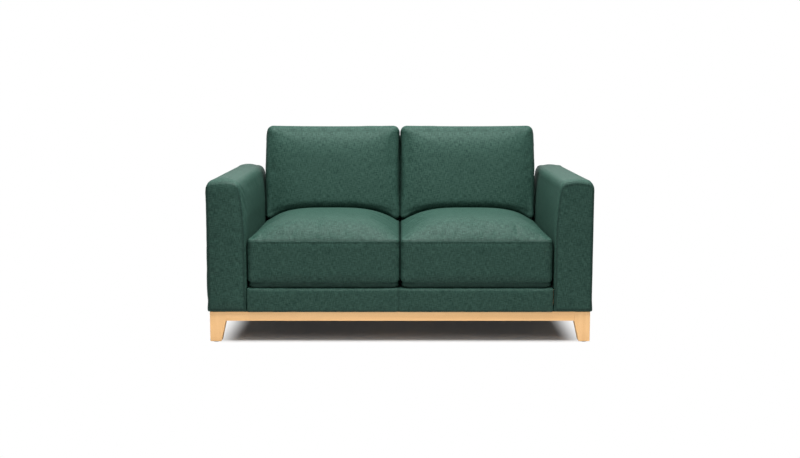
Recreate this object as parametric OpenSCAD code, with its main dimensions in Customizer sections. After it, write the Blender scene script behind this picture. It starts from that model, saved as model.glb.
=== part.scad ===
// Two-seat sofa with loose box cushions on a timber plinth.
// The origin is on the floor under the middle. The front faces -Y, and left is -X.

/* [Overall] */
// Width over the arms
overall_w = 1600; // [1400:10:2100]
// Depth from the front of the arms to the outside back
overall_d = 885; // [840:5:960]
// Height of the arms above the floor
arm_h = 683; // [640:1:740]
// Lean of the back from upright, in degrees
lean = 8; // [5:0.5:10]
// Width of an arm at seat level
arm_w = 165; // [150:1:220]

/* [Plinth] */
// Height of the plinth and its legs
plinth_h = 128; // [100:1:170]
// How far the plinth stands in from the upholstery
plinth_inset = 9.5; // [4:0.5:14]
// Width of a leg at the top
leg_top_w = 66; // [56:1:80]
// Width of a leg at the floor
leg_foot_w = 46; // [36:1:56]
// Depth of a leg
leg_d = 45; // [40:1:60]
// Height of the plinth rails
rail_h = 38; // [32:1:60]
// Thickness of the plinth rails
rail_t = 22; // [18:1:28]
// Length of the tenons on the rails
tenon_l = 20; // [12:1:24]
// Thickness of the tenons
tenon_t = 9; // [6:0.5:12]
// Shoulder above and below a tenon
tenon_shoulder = 6; // [4:0.5:8]
// Reach of a corner block along each rail
block_reach = 74; // [60:1:100]
// Height of a corner block
block_h = 26; // [18:1:30]
// Diameter of the felt glides
glide_d = 32; // [24:1:36]
// Thickness of the felt glides
glide_h = 3; // [2:0.5:6]

/* [Arms] */
// Radius of the outer top corner
arm_outer_r = 38; // [20:1:45]
// Radius of the inner top corner
arm_inner_r = 27; // [15:1:35]
// Radius of the lower outer corner
arm_foot_r = 8; // [4:1:15]
// How far the inner face leans out by its top
arm_slant = 16; // [5:1:25]
// Height above the seat seam where the inner face begins to lean
arm_slant_rise = 4; // [0:1:40]
// Softness of the front and rear edges
arm_edge_r = 11; // [6:1:14]
// Rise in the middle of the arm's top
arm_crown = 4; // [0:0.5:8]
// Padding over the frame at the front of the arm
arm_front_pad = 16; // [15:1:20]
// Padding on the outside of the arm
arm_outer_pad = 10; // [8:1:20]
// Padding on the inside of the arm at seat level
arm_inner_pad = 38; // [32:1:42]
// Padding over the top of the arm frame
arm_top_pad = 30; // [20:1:40]
// Padding on the outside back
rear_pad = 6; // [5:0.5:10]

/* [Seat frame] */
// Height of the upholstered front rail
front_rail_h = 99.5; // [80:0.5:130]
// Padding in front of the front rail
front_rail_pad = 22; // [18:1:30]
// Softness of the front rail's upper edge
front_rail_r = 9; // [5:1:12]
// Softness of the front rail's ends, where they meet the arms
front_rail_end_r = 4; // [2:0.5:6]
// Thickness of the seat rails
seat_rail_t = 28; // [22:1:32]
// Thickness of the seat deck
deck_t = 4.5; // [3:0.5:5]
// Width of a webbing strap
strap_w = 50; // [40:1:60]
// Thickness of a webbing strap
strap_t = 2; // [1.5:0.5:2.5]
// Number of straps from front to back under each cushion
long_straps = 5; // [3:1:6]
// Number of straps from side to side
cross_straps = 6; // [4:1:8]
// Thickness of the dust cover under the frame
dust_t = 1; // [0.5:0.5:2]

/* [Arm frame] */
// Thickness of the arm posts
post_t = 28; // [22:1:36]
// Thickness of the arm's top and bottom rails
arm_rail_t = 25; // [18:1:32]
// Thickness of the hardboard panels
panel_t = 4; // [3:0.5:6]
// Diameter of the bolts
bolt_d = 8; // [6:1:10]
// Diameter of a bolt's head
bolt_head_d = 18; // [14:1:20]
// Thickness of a bolt's head
bolt_head_t = 4; // [3:0.5:6]

/* [Back frame] */
// Height of the upholstered back above the floor, behind the cushions
back_h = 822; // [760:1:840]
// Thickness of the upholstered back at its top
back_top_t = 42; // [40:0.5:60]
// Padding on the front of the back
back_pad = 12; // [8:1:16]
// Padding over the top of the back
back_top_pad = 14; // [10:1:25]
// Radius of the back's top edges
back_edge_r = 15; // [8:1:18]
// Softness of the back's ends
back_end_r = 12; // [6:1:14]
// Height of the back's top rail
back_rail_h = 45; // [30:1:70]
// Thickness of the back's top rail
back_rail_t = 20; // [15:1:22]
// Number of webbing straps across the back
back_straps = 4; // [3:1:5]

/* [Seat cushions] */
// Height of a seat cushion from its underside to the top seam
seat_cushion_h = 198; // [150:1:230]
// Rise of the crown above the top seam
seat_crown = 79; // [50:1:90]
// Steepness of the crown's front half, as the exponent of its fall towards the seam
seat_front_power = 5.5; // [3:0.5:7]
// Radius of the corners in plan
seat_corner_r = 26; // [15:1:40]
// Radius of the lower edge
seat_edge_r = 22; // [12:1:30]
// How far the front of the cushion stands behind the front of the arms
seat_setback = 5; // [0:1:20]
// How far the sides pull in between the corners
seat_pull = 2; // [0:0.5:8]
// How deep the top seam is drawn in
seam_pinch = 3; // [1:0.5:5]
// Space between two neighbouring cushions, and beside the arms
cushion_gap = 2; // [1:0.5:6]

/* [Back cushions] */
// Height of a back cushion, along its lean
back_cushion_h = 409; // [330:0.5:450]
// Thickness of a back cushion beside its front edge
back_boxing = 126; // [90:1:140]
// Rise of the front's crown from there to its middle
back_crown = 24; // [15:1:40]
// Radius of the upper corners seen from the front
back_corner_r = 30; // [15:1:40]
// Radius of the lower corners, which settle beside the seat's crown
back_foot_r = 14; // [10:1:30]
// Radius of the rear edge
back_rear_r = 18; // [10:1:26]
// Radius of the front edge, which has no seam
back_front_r = 24; // [15:1:35]
// How much narrower a back cushion is than the seat cushion under it
back_trim = 4; // [0:0.5:10]
// How far the top and the side towards the middle pull in between the corners
back_pull = 3; // [0:0.5:8]
// How far the side towards the arm bulges over the arm's slant
back_bulge = 9; // [0:0.5:10]

/* [Cushion filling and zips] */
// Thickness of the wadding round a foam core
wrap_t = 30; // [22:1:40]
// Length of a seat cushion's zip
seat_zip_l = 520; // [300:10:540]
// Length of a back cushion's zip
back_zip_l = 480; // [300:10:540]
// Width of a zip with its tapes
zip_w = 24; // [18:1:30]
// Thickness of a zip's tape
zip_t = 2; // [1:0.5:2]
// Depth of the fold that hides a zip
zip_fold = 11; // [10:0.5:14]
// Length of a zip's slider
slider_l = 12; // [8:1:16]
// Width of a zip's slider
slider_w = 9; // [6:1:12]
// Thickness of a zip's slider
slider_t = 4; // [3:0.5:5]
// Length of the slider's pull tab
tab_l = 22; // [15:1:30]
// Width of the slider's pull tab
tab_w = 6; // [4:0.5:8]
// Thickness of the slider's pull tab
tab_t = 1.5; // [1:0.5:2]

/* [Hidden] */

// Clearance between pieces that fit together
fit = 0.3;
// Clearance between the soft faces of loose cushions and what carries them
soft_gap = 0.4;
// Overrun of every cut
over = 1;

// Exponent of the crowns' fall towards the seams
crown_power = 3.5;
// How far a front edge without a seam turns before the crown takes over, in degrees
brow_turn = 70;
// Exponent of the arm's slant
slant_power = 1.2;
// Places of the crown's rings between seam and middle
crown_shares = [0.985, 0.955, 0.91, 0.85, 0.77, 0.67, 0.55, 0.4, 0.25, 0.1];
// Places of points across an arm's top
arm_top_shares = [0.2, 0.5, 0.8];
corner_steps = 5;
side_steps = 8;
edge_steps = 3;
slant_steps = 6;

front_y = -overall_d / 2;
rear_y = overall_d / 2;
inner_x = overall_w / 2 - arm_w;
deck_z = plinth_h + front_rail_h;
dust_z = plinth_h + dust_t;

// Timber frame lines, which the covers and the rails share
leg_x = overall_w / 2 - plinth_inset;
leg_y = overall_d / 2 - plinth_inset;
post_x = overall_w / 2 - arm_w + arm_inner_pad + panel_t;
panel_x = overall_w / 2 - arm_outer_pad - panel_t;
post_front_y = front_y + arm_front_pad;
frame_rear_y = rear_y - rear_pad;
arm_frame_z = arm_h - arm_top_pad;
strap_z = deck_z - deck_t - 2 * strap_t;
rail_front_y = front_y + front_rail_pad;
side_rail_x = post_x - seat_rail_t;
back_seat_y = rear_y - back_top_t - (back_h - deck_z) * tan(lean);
back_post_y = back_seat_y + (back_pad + strap_t + fit) / cos(lean);
back_top_z = back_h - back_top_pad;

// Y of the back's front face at height z
function back_face_y(z) = back_seat_y + (z - deck_z) * tan(lean);

// Seat cushion
seat_w = inner_x - cushion_gap * 3 / 2;
seat_x = cushion_gap / 2 + seat_w / 2;
seat_front_y = front_y + seat_setback;
seat_d = back_seat_y - soft_gap - seat_front_y;
seat_y = seat_front_y + seat_d / 2;
seat_z = deck_z + soft_gap;
seam_z = seat_z + seat_cushion_h;

// Share of the crown's rise at a place, from -1 to 1 each way
function crown_share(u, v) =
    let (front_to_rear = v < 0 ? seat_front_power : crown_power)
    (1 - pow(min(abs(u), 1), crown_power)) * (1 - pow(min(abs(v), 1), front_to_rear));

// Height of the seat cushion's crown at a place, with x from its own middle
function seat_top_z(x, y) =
    let (
        u = x / (seat_w / 2 - seam_pinch),
        v = (y - seat_y) / (seat_d / 2 - seam_pinch)
    )
    seam_z + seat_crown * crown_share(u, v);

// Back cushion, in its own frame: y up along the lean, z forwards from the rear face
back_w = seat_w - back_trim;
back_x = cushion_gap / 2 + back_w / 2;

// Travel up the lean that lets the cushion rest on the seat, found by repeated steps
rest_steps = 8;
function rest_travel(points, s, steps) =
    steps == 0
    ? s
    : rest_travel(
        points,
        max([for (p = points)
            let (
                up = p[1] + back_cushion_h / 2,
                y = back_seat_y - soft_gap + (s + up) * sin(lean) - p[2] * cos(lean)
            )
            (seat_top_z(p[0], y) + soft_gap - deck_z - p[2] * sin(lean)) / cos(lean) - up]),
        steps - 1);

// Foam cores
seat_core = [seat_w - 2 * wrap_t, seat_d - 2 * wrap_t, seat_cushion_h + seat_crown / 3 - 2 * wrap_t];
back_core = [back_w - 2 * wrap_t, back_cushion_h - 2 * wrap_t, back_boxing - 2 * wrap_t];

// Points of an arc round c
function arc(c, r, from, to, steps) =
    [for (i = [0:steps]) let (a = from + (to - from) * i / steps) c + r * [cos(a), sin(a)]];

// Points round a rectangle with a radius for each corner, whose sides pull in between the corners, each by
// its own amount
function ring(w, d, radii, pulls) =
    let (corners = [for (k = [0:3])
        [(k == 0 || k == 3 ? 1 : -1) * (w / 2 - radii[k]), (k < 2 ? 1 : -1) * (d / 2 - radii[k])]])
    [for (k = [0:3])
        let (
            out = [cos(90 * k + 90), sin(90 * k + 90)],
            from = corners[k] + radii[k] * out,
            to = corners[(k + 1) % 4] + radii[(k + 1) % 4] * out
        )
        each concat(
            arc(corners[k], radii[k], 90 * k, 90 * k + 90, corner_steps),
            [for (j = [1:side_steps - 1])
                let (t = j / side_steps)
                from + (to - from) * t - pulls[k] * 4 * t * (1 - t) * out])];

// The same outline drawn in all round by an inset
function drawn_in(w, d, radii, pulls, inset) =
    ring(w - 2 * inset, d - 2 * inset, [for (r = radii) max(r - inset, fit)], pulls);

// A flat outline lifted to height z
function at_height(points, z) = [for (p = points) [p[0], p[1], z]];

// Rings round a cushion's lower edge
function foot_rings(w, d, radii, edge_r, pulls) =
    [for (i = [0:edge_steps])
        let (a = 90 * i / edge_steps)
        at_height(drawn_in(w, d, radii, pulls, edge_r * (1 - sin(a))), edge_r * (1 - cos(a)))];

// Rings of a box cushion with a drawn-in top seam, from its underside to the middle of its crown
function box_rings(w, d, h, radii, edge_r, pulls, crown) =
    let (top = drawn_in(w, d, radii, pulls, seam_pinch))
    concat(
        foot_rings(w, d, radii, edge_r, pulls),
        [at_height(ring(w, d, radii, pulls), h - 4 * seam_pinch),
         at_height(drawn_in(w, d, radii, pulls, seam_pinch / 2), h - seam_pinch),
         at_height(top, h)],
        [for (s = crown_shares)
            [for (p = top)
                let (
                    u = 2 * p[0] * s / (w - 2 * seam_pinch),
                    v = 2 * p[1] * s / (d - 2 * seam_pinch),
                    flat = s == min(crown_shares)
                )
                [p[0] * s, p[1] * s, h + crown * (flat ? 1 : crown_share(u, v))]]]);

// Rings of a softer cushion, whose front rolls over its edge into the crown
function pillow_rings(w, d, h, radii, edge_r, brow_r, pulls, crown) =
    let (brow = drawn_in(w, d, radii, pulls, brow_r * (1 - cos(brow_turn))))
    concat(
        foot_rings(w, d, radii, edge_r, pulls),
        [for (i = [0:edge_steps])
            let (a = brow_turn * i / edge_steps)
            at_height(
                drawn_in(w, d, radii, pulls, brow_r * (1 - cos(a))),
                h - brow_r * (sin(brow_turn) - sin(a)))],
        [for (s = crown_shares)
            [for (p = brow) [p[0] * s, p[1] * s, h + crown * (1 - pow(s, crown_power))]]]);

// Stations along a padded piece with rounded ends: place and inset
function end_stations(from, to, r) = concat(
    [for (i = [0:edge_steps])
        let (a = 90 * i / edge_steps)
        [from + r * (1 - cos(a)), r * (1 - sin(a))]],
    [for (i = [0:edge_steps])
        let (a = 90 - 90 * i / edge_steps)
        [to - r * (1 - cos(a)), r * (1 - sin(a))]]);

// A closed solid through rings that run anticlockwise, seen from the last ring
module loft(rings) {
    n = len(rings[0]);
    last = len(rings) - 1;
    points = [for (r = rings) each r];
    sides = [
        for (i = [0:last - 1]) for (j = [0:n - 1])
            let (k = (j + 1) % n, a = i * n + j, b = i * n + k, c = a + n, d = b + n)
            each [[a, c, d], [a, d, b]]
    ];
    bottom = [for (j = [0:n - 1]) j];
    top = [for (j = [n - 1:-1:0]) last * n + j];
    polyhedron(points, concat([bottom, top], sides), convexity = 4);
}

// A box between two corners
module block(from, to) {
    translate(from) cube(to - from);
}

// Pulls at the top, at the side towards the middle, at the bottom and at the side towards the arm
seat_pulls = [seat_pull, seat_pull, seat_pull, seat_pull];
back_pulls = [back_pull, back_pull, 0, -back_bulge];
back_rings = pillow_rings(
    back_w, back_cushion_h, back_boxing, [back_corner_r, back_corner_r, back_foot_r, back_foot_r],
    back_rear_r, back_front_r, back_pulls, back_crown);
back_travel = rest_travel(
    [for (r = back_rings) each [for (p = r) if (p[1] < -back_cushion_h / 4) p]],
    seat_cushion_h,
    rest_steps);

// Moves what it holds from the right half to the side asked for
module on_side(side) {
    if (side > 0) children();
    else mirror([1, 0, 0]) children();
}

// Plinth

// A leg, seen from the front, for the right side
module leg_profile() {
    polygon([
        [leg_x, glide_h], [leg_x, plinth_h], [leg_x - leg_top_w, plinth_h],
        [leg_x - leg_top_w, plinth_h - rail_h], [leg_x - leg_foot_w, glide_h]
    ]);
}

// Tenon of the front and rear rails at the right-hand front leg, with a clearance
module rail_tenon(clear) {
    block(
        [leg_x - leg_top_w - over, -leg_y + rail_t / 2 - tenon_t / 2 - clear,
         plinth_h - rail_h + tenon_shoulder - clear],
        [leg_x - leg_top_w + tenon_l + clear, -leg_y + rail_t / 2 + tenon_t / 2 + clear,
         plinth_h - tenon_shoulder + clear]);
}

// Tenon of a side rail at the right-hand front leg, with a clearance
module side_tenon(clear) {
    block(
        [leg_x - rail_t / 2 - tenon_t / 2 - clear, -leg_y + leg_d - tenon_l - clear,
         plinth_h - rail_h + tenon_shoulder - clear],
        [leg_x - rail_t / 2 + tenon_t / 2 + clear, -leg_y + leg_d + over,
         plinth_h - tenon_shoulder + clear]);
}

module leg(side, end) {
    color("burlywood") on_side(side) mirror([0, end > 0 ? 1 : 0, 0])
        difference() {
            translate([0, -leg_y + leg_d, 0]) rotate([90, 0, 0])
                linear_extrude(leg_d) leg_profile();
            rail_tenon(fit);
            side_tenon(fit);
        }
}

module leg_front_left() { leg(-1, -1); }
module leg_front_right() { leg(1, -1); }
module leg_rear_left() { leg(-1, 1); }
module leg_rear_right() { leg(1, 1); }

module leg_glides() {
    color("dimgray")
        for (sx = [-1, 1], sy = [-1, 1])
            translate([sx * (leg_x - leg_foot_w / 2), sy * (leg_y - leg_d / 2), 0])
                cylinder(d = glide_d, h = glide_h, $fn = 48);
}

// Stub tenon of the centre rail, which runs from front to back
module centre_tenon(clear) {
    length = leg_y - rail_t + rail_t / 2;
    block(
        [-tenon_t / 2 - clear, -length - clear, plinth_h - rail_h + tenon_shoulder - clear],
        [tenon_t / 2 + clear, length + clear, plinth_h - tenon_shoulder + clear]);
}

module cross_rail(end) {
    reach = leg_x - leg_top_w;
    color("burlywood") mirror([0, end > 0 ? 1 : 0, 0])
        difference() {
            union() {
                block([-reach, -leg_y, plinth_h - rail_h], [reach, -leg_y + rail_t, plinth_h]);
                for (side = [-1, 1]) on_side(side) rail_tenon(0);
            }
            centre_tenon(fit);
        }
}

module plinth_front_rail() { cross_rail(-1); }
module plinth_rear_rail() { cross_rail(1); }

module side_rail(side) {
    reach = leg_y - leg_d;
    color("burlywood") on_side(side) {
        block([leg_x - rail_t, -reach, plinth_h - rail_h], [leg_x, reach, plinth_h]);
        for (end = [0, 1]) mirror([0, end, 0]) side_tenon(0);
    }
}

module plinth_side_rail_left() { side_rail(-1); }
module plinth_side_rail_right() { side_rail(1); }

// Places of the bolts that hold the body down, in one quarter
corner_bolt = [leg_x - leg_top_w / 2 - bolt_head_d, -leg_y + leg_d + bolt_head_d];
centre_bolt = [0, -leg_y + leg_d + bolt_head_d];
bolt_grip = block_h + dust_t + arm_rail_t * 2 / 3;

module plinth_centre_rail() {
    reach = leg_y - rail_t;
    color("burlywood")
        difference() {
            union() {
                block([-rail_t / 2, -reach, plinth_h - rail_h], [rail_t / 2, reach, plinth_h]);
                centre_tenon(0);
            }
            plinth_bolt_holes(fit);
        }
}

// A triangular block, notched round the leg, for the right-hand front corner
module corner_block() {
    inner_y = -leg_y + rail_t;
    inner_x_side = leg_x - rail_t;
    difference() {
        translate([0, 0, plinth_h - block_h])
            linear_extrude(block_h)
                polygon([
                    [leg_x - leg_top_w - block_reach, inner_y],
                    [leg_x - leg_top_w, inner_y],
                    [leg_x - leg_top_w, -leg_y + leg_d],
                    [inner_x_side, -leg_y + leg_d],
                    [inner_x_side, -leg_y + leg_d + block_reach]
                ]);
        plinth_bolt_holes(fit);
    }
}

module plinth_corner_blocks() {
    color("tan")
        for (side = [-1, 1], end = [0, 1])
            on_side(side) mirror([0, end, 0]) corner_block();
}

module plinth_bolt_holes(clear) {
    for (p = [corner_bolt, centre_bolt])
        translate([p[0], p[1], plinth_h - rail_h - over])
            cylinder(d = bolt_d + 2 * clear, h = rail_h + bolt_grip, $fn = 32);
    translate([centre_bolt[0], -centre_bolt[1], plinth_h - rail_h - over])
        cylinder(d = bolt_d + 2 * clear, h = rail_h + bolt_grip, $fn = 32);
}

module bolt(length) {
    cylinder(d = bolt_d, h = length, $fn = 32);
    translate([0, 0, -bolt_head_t]) cylinder(d = bolt_head_d, h = bolt_head_t, $fn = 48);
}

module plinth_bolts() {
    color("silver") {
        for (sx = [-1, 1], sy = [-1, 1])
            translate([sx * corner_bolt[0], sy * corner_bolt[1], plinth_h - block_h])
                bolt(bolt_grip);
        for (sy = [-1, 1])
            translate([0, sy * centre_bolt[1], plinth_h - rail_h])
                bolt(bolt_grip + rail_h - block_h);
    }
}

// All the holes for the plinth bolts, in whatever stands on the plinth
module body_bolt_holes() {
    for (sx = [-1, 1], sy = [-1, 1])
        translate([sx * corner_bolt[0], sy * corner_bolt[1], plinth_h - over])
            cylinder(d = bolt_d + 2 * fit, h = bolt_grip + 2 * over, $fn = 32);
    for (sy = [-1, 1])
        translate([0, sy * centre_bolt[1], plinth_h - over])
            cylinder(d = bolt_d + 2 * fit, h = bolt_grip + 2 * over, $fn = 32);
}

// Body frame

module dust_cover() {
    reach = panel_x + panel_t;
    color("dimgray") difference() {
        block([-reach, rail_front_y, plinth_h], [reach, frame_rear_y, dust_z]);
        body_bolt_holes();
    }
}

module seat_front_rail() {
    color("peru")
        block([-side_rail_x, rail_front_y, dust_z], [side_rail_x, rail_front_y + seat_rail_t, strap_z]);
}

module seat_rear_rail() {
    color("peru")
        block([-side_rail_x, back_post_y - seat_rail_t, dust_z], [side_rail_x, back_post_y, strap_z]);
}

// Places of the bolts that hold an arm's foot to the seat frame: y and z
arm_bolt_front_y = rail_front_y + seat_rail_t + bolt_head_d;
arm_bolt_rear_y = back_post_y - seat_rail_t - post_t / 2;
arm_bolt_places = [
    for (y = [arm_bolt_front_y, (arm_bolt_front_y + arm_bolt_rear_y) / 2, arm_bolt_rear_y])
        [y, dust_z + arm_rail_t / 2]
];
arm_bolt_l = seat_rail_t * 2;

module arm_bolt_holes() {
    for (p = arm_bolt_places)
        translate([side_rail_x - over, p[0], p[1]]) rotate([0, 90, 0])
            cylinder(d = bolt_d + 2 * fit, h = arm_bolt_l + 2 * over, $fn = 32);
}

module seat_side_rail(side) {
    color("peru") on_side(side) difference() {
        block([side_rail_x, rail_front_y, dust_z], [post_x, back_post_y, strap_z]);
        arm_bolt_holes();
    }
}

module seat_side_rail_left() { seat_side_rail(-1); }
module seat_side_rail_right() { seat_side_rail(1); }

module seat_centre_rail() {
    color("peru") difference() {
        block(
            [-seat_rail_t / 2, rail_front_y + seat_rail_t, dust_z],
            [seat_rail_t / 2, back_post_y - seat_rail_t, strap_z]);
        body_bolt_holes();
    }
}

module seat_webbing() {
    inset = seat_rail_t / 3;
    span_y = back_post_y - rail_front_y - 2 * inset;
    span_x = post_x - inset;
    pitch_x = (side_rail_x - seat_rail_t / 2) / long_straps;
    pitch_y = (span_y - 2 * seat_rail_t) / cross_straps;
    color("darkslategray") {
        for (side = [-1, 1], i = [0:long_straps - 1])
            translate([
                side * (seat_rail_t / 2 + pitch_x * (i + 0.5)) - strap_w / 2,
                rail_front_y + inset, strap_z
            ])
                cube([strap_w, span_y, strap_t]);
        for (i = [0:cross_straps - 1])
            translate([
                -span_x, rail_front_y + inset + seat_rail_t + pitch_y * (i + 0.5) - strap_w / 2,
                strap_z + strap_t
            ])
                cube([2 * span_x, strap_w, strap_t]);
    }
}

module seat_deck() {
    reach = post_x - seat_rail_t / 3;
    color("dimgray")
        block([-reach, rail_front_y + seat_rail_t, deck_z - deck_t], [reach, back_post_y, deck_z]);
}

// Upholstered front rail, seen from the side: y and z, drawn in by an inset
function front_rail_outline(inset) =
    let (
        y0 = front_y + inset,
        z1 = deck_z - inset,
        r = front_rail_r,
        y1 = rail_front_y + seat_rail_t
    )
    concat(
        [[rail_front_y - fit, plinth_h], [rail_front_y - fit, strap_z + strap_t + fit],
         [y1, strap_z + strap_t + fit], [y1, z1]],
        arc([y0 + r, z1 - r], r, 90, 180, corner_steps),
        [[y0, plinth_h]]);

module front_rail_cover() {
    reach = inner_x - fit;
    color([0.2, 0.29, 0.26]) rotate([90, 0, 90])
        loft([
            for (s = end_stations(-reach, reach, front_rail_end_r))
                at_height(front_rail_outline(s[1]), s[0])
        ]);
}

// Arms

module arm_posts(side) {
    color("peru") on_side(side) difference() {
        for (y = [post_front_y, back_post_y - seat_rail_t - post_t, frame_rear_y - post_t])
            block([post_x, y, dust_z], [panel_x, y + post_t, arm_frame_z]);
        arm_bolt_holes();
        body_bolt_holes();
    }
}

module arm_posts_left() { arm_posts(-1); }
module arm_posts_right() { arm_posts(1); }

module arm_rails(side) {
    middle_y = back_post_y - seat_rail_t - post_t;
    color("peru") on_side(side) difference() {
        for (z = [dust_z, arm_frame_z - arm_rail_t],
             span = [[post_front_y + post_t, middle_y], [middle_y + post_t, frame_rear_y - post_t]])
            block([post_x, span[0], z], [panel_x, span[1], z + arm_rail_t]);
        arm_bolt_holes();
        body_bolt_holes();
    }
}

module arm_rails_left() { arm_rails(-1); }
module arm_rails_right() { arm_rails(1); }

module arm_outer_panel(side) {
    color("sienna") on_side(side)
        block([panel_x, post_front_y, dust_z], [panel_x + panel_t, frame_rear_y, arm_frame_z]);
}

module arm_outer_panel_left() { arm_outer_panel(-1); }
module arm_outer_panel_right() { arm_outer_panel(1); }

module arm_inner_panel(side) {
    color("sienna") on_side(side)
        block([post_x - panel_t, post_front_y, deck_z], [post_x, frame_rear_y, arm_frame_z]);
}

module arm_inner_panel_left() { arm_inner_panel(-1); }
module arm_inner_panel_right() { arm_inner_panel(1); }

module arm_bolts() {
    color("silver")
        for (side = [-1, 1]) on_side(side)
            for (p = arm_bolt_places)
                translate([side_rail_x, p[0], p[1]]) rotate([0, 90, 0]) bolt(arm_bolt_l);
}

// Padded arm on the right, seen from the front: x and z, drawn in by an inset
function arm_outline(inset) =
    let (
        x0 = inner_x + inset,
        x1 = overall_w / 2 - inset,
        z1 = arm_h - inset - arm_crown,
        zs = seam_z + arm_slant_rise,
        xt = x0 + arm_slant,
        ri = arm_inner_r,
        ro = arm_outer_r,
        rf = arm_foot_r,
        rise = z1 - ri - zs
    )
    concat(
        [[x1 - rf, plinth_h]],
        arc([x1 - rf, plinth_h + rf], rf, -60, 0, 2),
        arc([x1 - ro, z1 - ro], ro, 0, 90, 6),
        [for (t = arm_top_shares)
            [x1 - ro + (xt + ri - x1 + ro) * t, z1 + arm_crown * 4 * t * (1 - t)]],
        arc([xt + ri, z1 - ri], ri, 90, 180, 5),
        [for (i = [slant_steps - 1:-1:0])
            let (t = i / slant_steps) [x0 + arm_slant * pow(t, slant_power), zs + rise * t]],
        [[x0, plinth_h]]);

module arm_cover(side) {
    color([0.2, 0.29, 0.26]) on_side(side) difference() {
        rotate([90, 0, 0])
            loft([for (s = end_stations(front_y, rear_y, arm_edge_r)) at_height(arm_outline(s[1]), s[0])]);
        block(
            [post_x - panel_t - fit, post_front_y - fit, plinth_h - over],
            [panel_x + panel_t + fit, frame_rear_y + fit, arm_frame_z + fit]);
        block([inner_x - over, post_front_y - fit, plinth_h - over], [post_x, frame_rear_y + fit, deck_z]);
    }
}

module arm_cover_left() { arm_cover(-1); }
module arm_cover_right() { arm_cover(1); }

// Back

// Front edge of the back posts at height z
function post_edge_y(z) = z < deck_z ? back_post_y : back_post_y + (z - deck_z) * tan(lean);

module back_post() {
    rotate([90, 0, 90]) linear_extrude(seat_rail_t)
        polygon([
            [back_post_y, dust_z], [frame_rear_y, dust_z], [frame_rear_y, back_top_z],
            [post_edge_y(back_top_z), back_top_z], [post_edge_y(deck_z), deck_z]
        ]);
}

back_reach = inner_x - fit - back_pad / 2;

module back_posts() {
    color("peru") difference() {
        for (x = [-back_reach, -seat_rail_t / 2, back_reach - seat_rail_t])
            translate([x, 0, 0]) back_post();
        body_bolt_holes();
    }
}

module between_posts(y, z, size_y, size_z) {
    span = back_reach - seat_rail_t * 3 / 2;
    for (side = [-1, 1]) on_side(side)
        block([seat_rail_t / 2, y, z], [seat_rail_t / 2 + span, y + size_y, z + size_z]);
}

module back_top_rail() {
    color("peru")
        between_posts(frame_rear_y - back_rail_t, back_top_z - back_rail_h, back_rail_t, back_rail_h);
}

module back_bottom_rail() {
    color("peru") between_posts(back_post_y, dust_z, seat_rail_t, strap_z - dust_z);
}

module back_webbing() {
    low = deck_z + strap_w;
    pitch = (back_top_z - strap_w / 2 - low) / back_straps;
    clear = fit / 4;
    color("darkslategray")
        for (i = [0:back_straps - 1])
            translate([0, post_edge_y(low + pitch * i), low + pitch * i]) rotate([-lean, 0, 0])
                translate([-back_reach, -strap_t - clear, 0]) cube([2 * back_reach, strap_t, strap_w]);
}

// Upholstered back, seen from the side: y and z, drawn in by an inset
function back_outline(inset) =
    let (
        r = back_edge_r,
        y1 = rear_y - inset,
        z1 = back_h - inset,
        rise = z1 - r - deck_z,
        drop = inset + r,
        yf = back_face_y(z1 - r) + drop / cos(lean)
    )
    concat(
        [[back_post_y, dust_z + fit], [y1, dust_z + fit]],
        arc([y1 - r, z1 - r], r, 0, 90, corner_steps),
        arc([yf, z1 - r], r, 90, 180 - lean, corner_steps),
        [[yf - r / cos(lean) - rise * tan(lean), deck_z], [back_post_y, deck_z]]);

module back_cover() {
    reach = inner_x - fit;
    hollow = back_reach + fit;
    strap = (strap_t + fit) / cos(lean);
    color([0.2, 0.29, 0.26]) difference() {
        rotate([90, 0, 90])
            loft([for (s = end_stations(-reach, reach, back_end_r)) at_height(back_outline(s[1]), s[0])]);
        translate([-hollow, 0, 0]) rotate([90, 0, 90]) linear_extrude(2 * hollow)
            polygon([
                [back_post_y - over, plinth_h - over], [frame_rear_y + fit, plinth_h - over],
                [frame_rear_y + fit, back_top_z + fit],
                [post_edge_y(back_top_z) - strap, back_top_z + fit],
                [post_edge_y(deck_z) - strap - over * tan(lean), deck_z - over],
                [back_post_y - over, deck_z - over]
            ]);
    }
}

// Cushions

// A zip's fold, in the middle of a face that looks along +Y
module zip_space(length, depth) {
    block([-length / 2, -depth, -zip_w / 2], [length / 2, over, zip_w / 2]);
}

module zip_tape(length) {
    color("dimgray")
        block(
            [-length / 2 + fit, -zip_fold + fit, -zip_w / 2 + fit],
            [length / 2 - fit, -zip_fold + fit + zip_t, zip_w / 2 - fit]);
}

// Slider and pull tab, at the zip's closed end
module zip_slider(length) {
    x0 = -length / 2 + slider_l;
    y0 = -zip_fold + 2 * fit + zip_t;
    color("silver") {
        block([x0, y0, -slider_w / 2], [x0 + slider_l, y0 + slider_t, slider_w / 2]);
        block([x0 + slider_l / 2, y0 + slider_t, -tab_w / 2],
              [x0 + slider_l / 2 + tab_l, y0 + slider_t + tab_t, tab_w / 2]);
    }
}

module at_seat_zip() {
    translate([0, seat_y + seat_d / 2, seat_z + seat_cushion_h / 2]) children();
}

module seat_cushion(side) {
    color([0.24, 0.34, 0.3]) translate([side * seat_x, 0, 0]) difference() {
        translate([0, seat_y, seat_z])
            loft(box_rings(
                seat_w, seat_d, seat_cushion_h,
                [seat_corner_r, seat_corner_r, seat_corner_r, seat_corner_r], seat_edge_r, seat_pulls,
                seat_crown));
        translate([0, seat_y, seat_z + wrap_t + seat_core[2] / 2])
            cube([for (size = seat_core) size + 2 * fit], center = true);
        at_seat_zip() zip_space(seat_zip_l, zip_fold);
    }
}

module seat_cushion_left() { seat_cushion(-1); }
module seat_cushion_right() { seat_cushion(1); }

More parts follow.
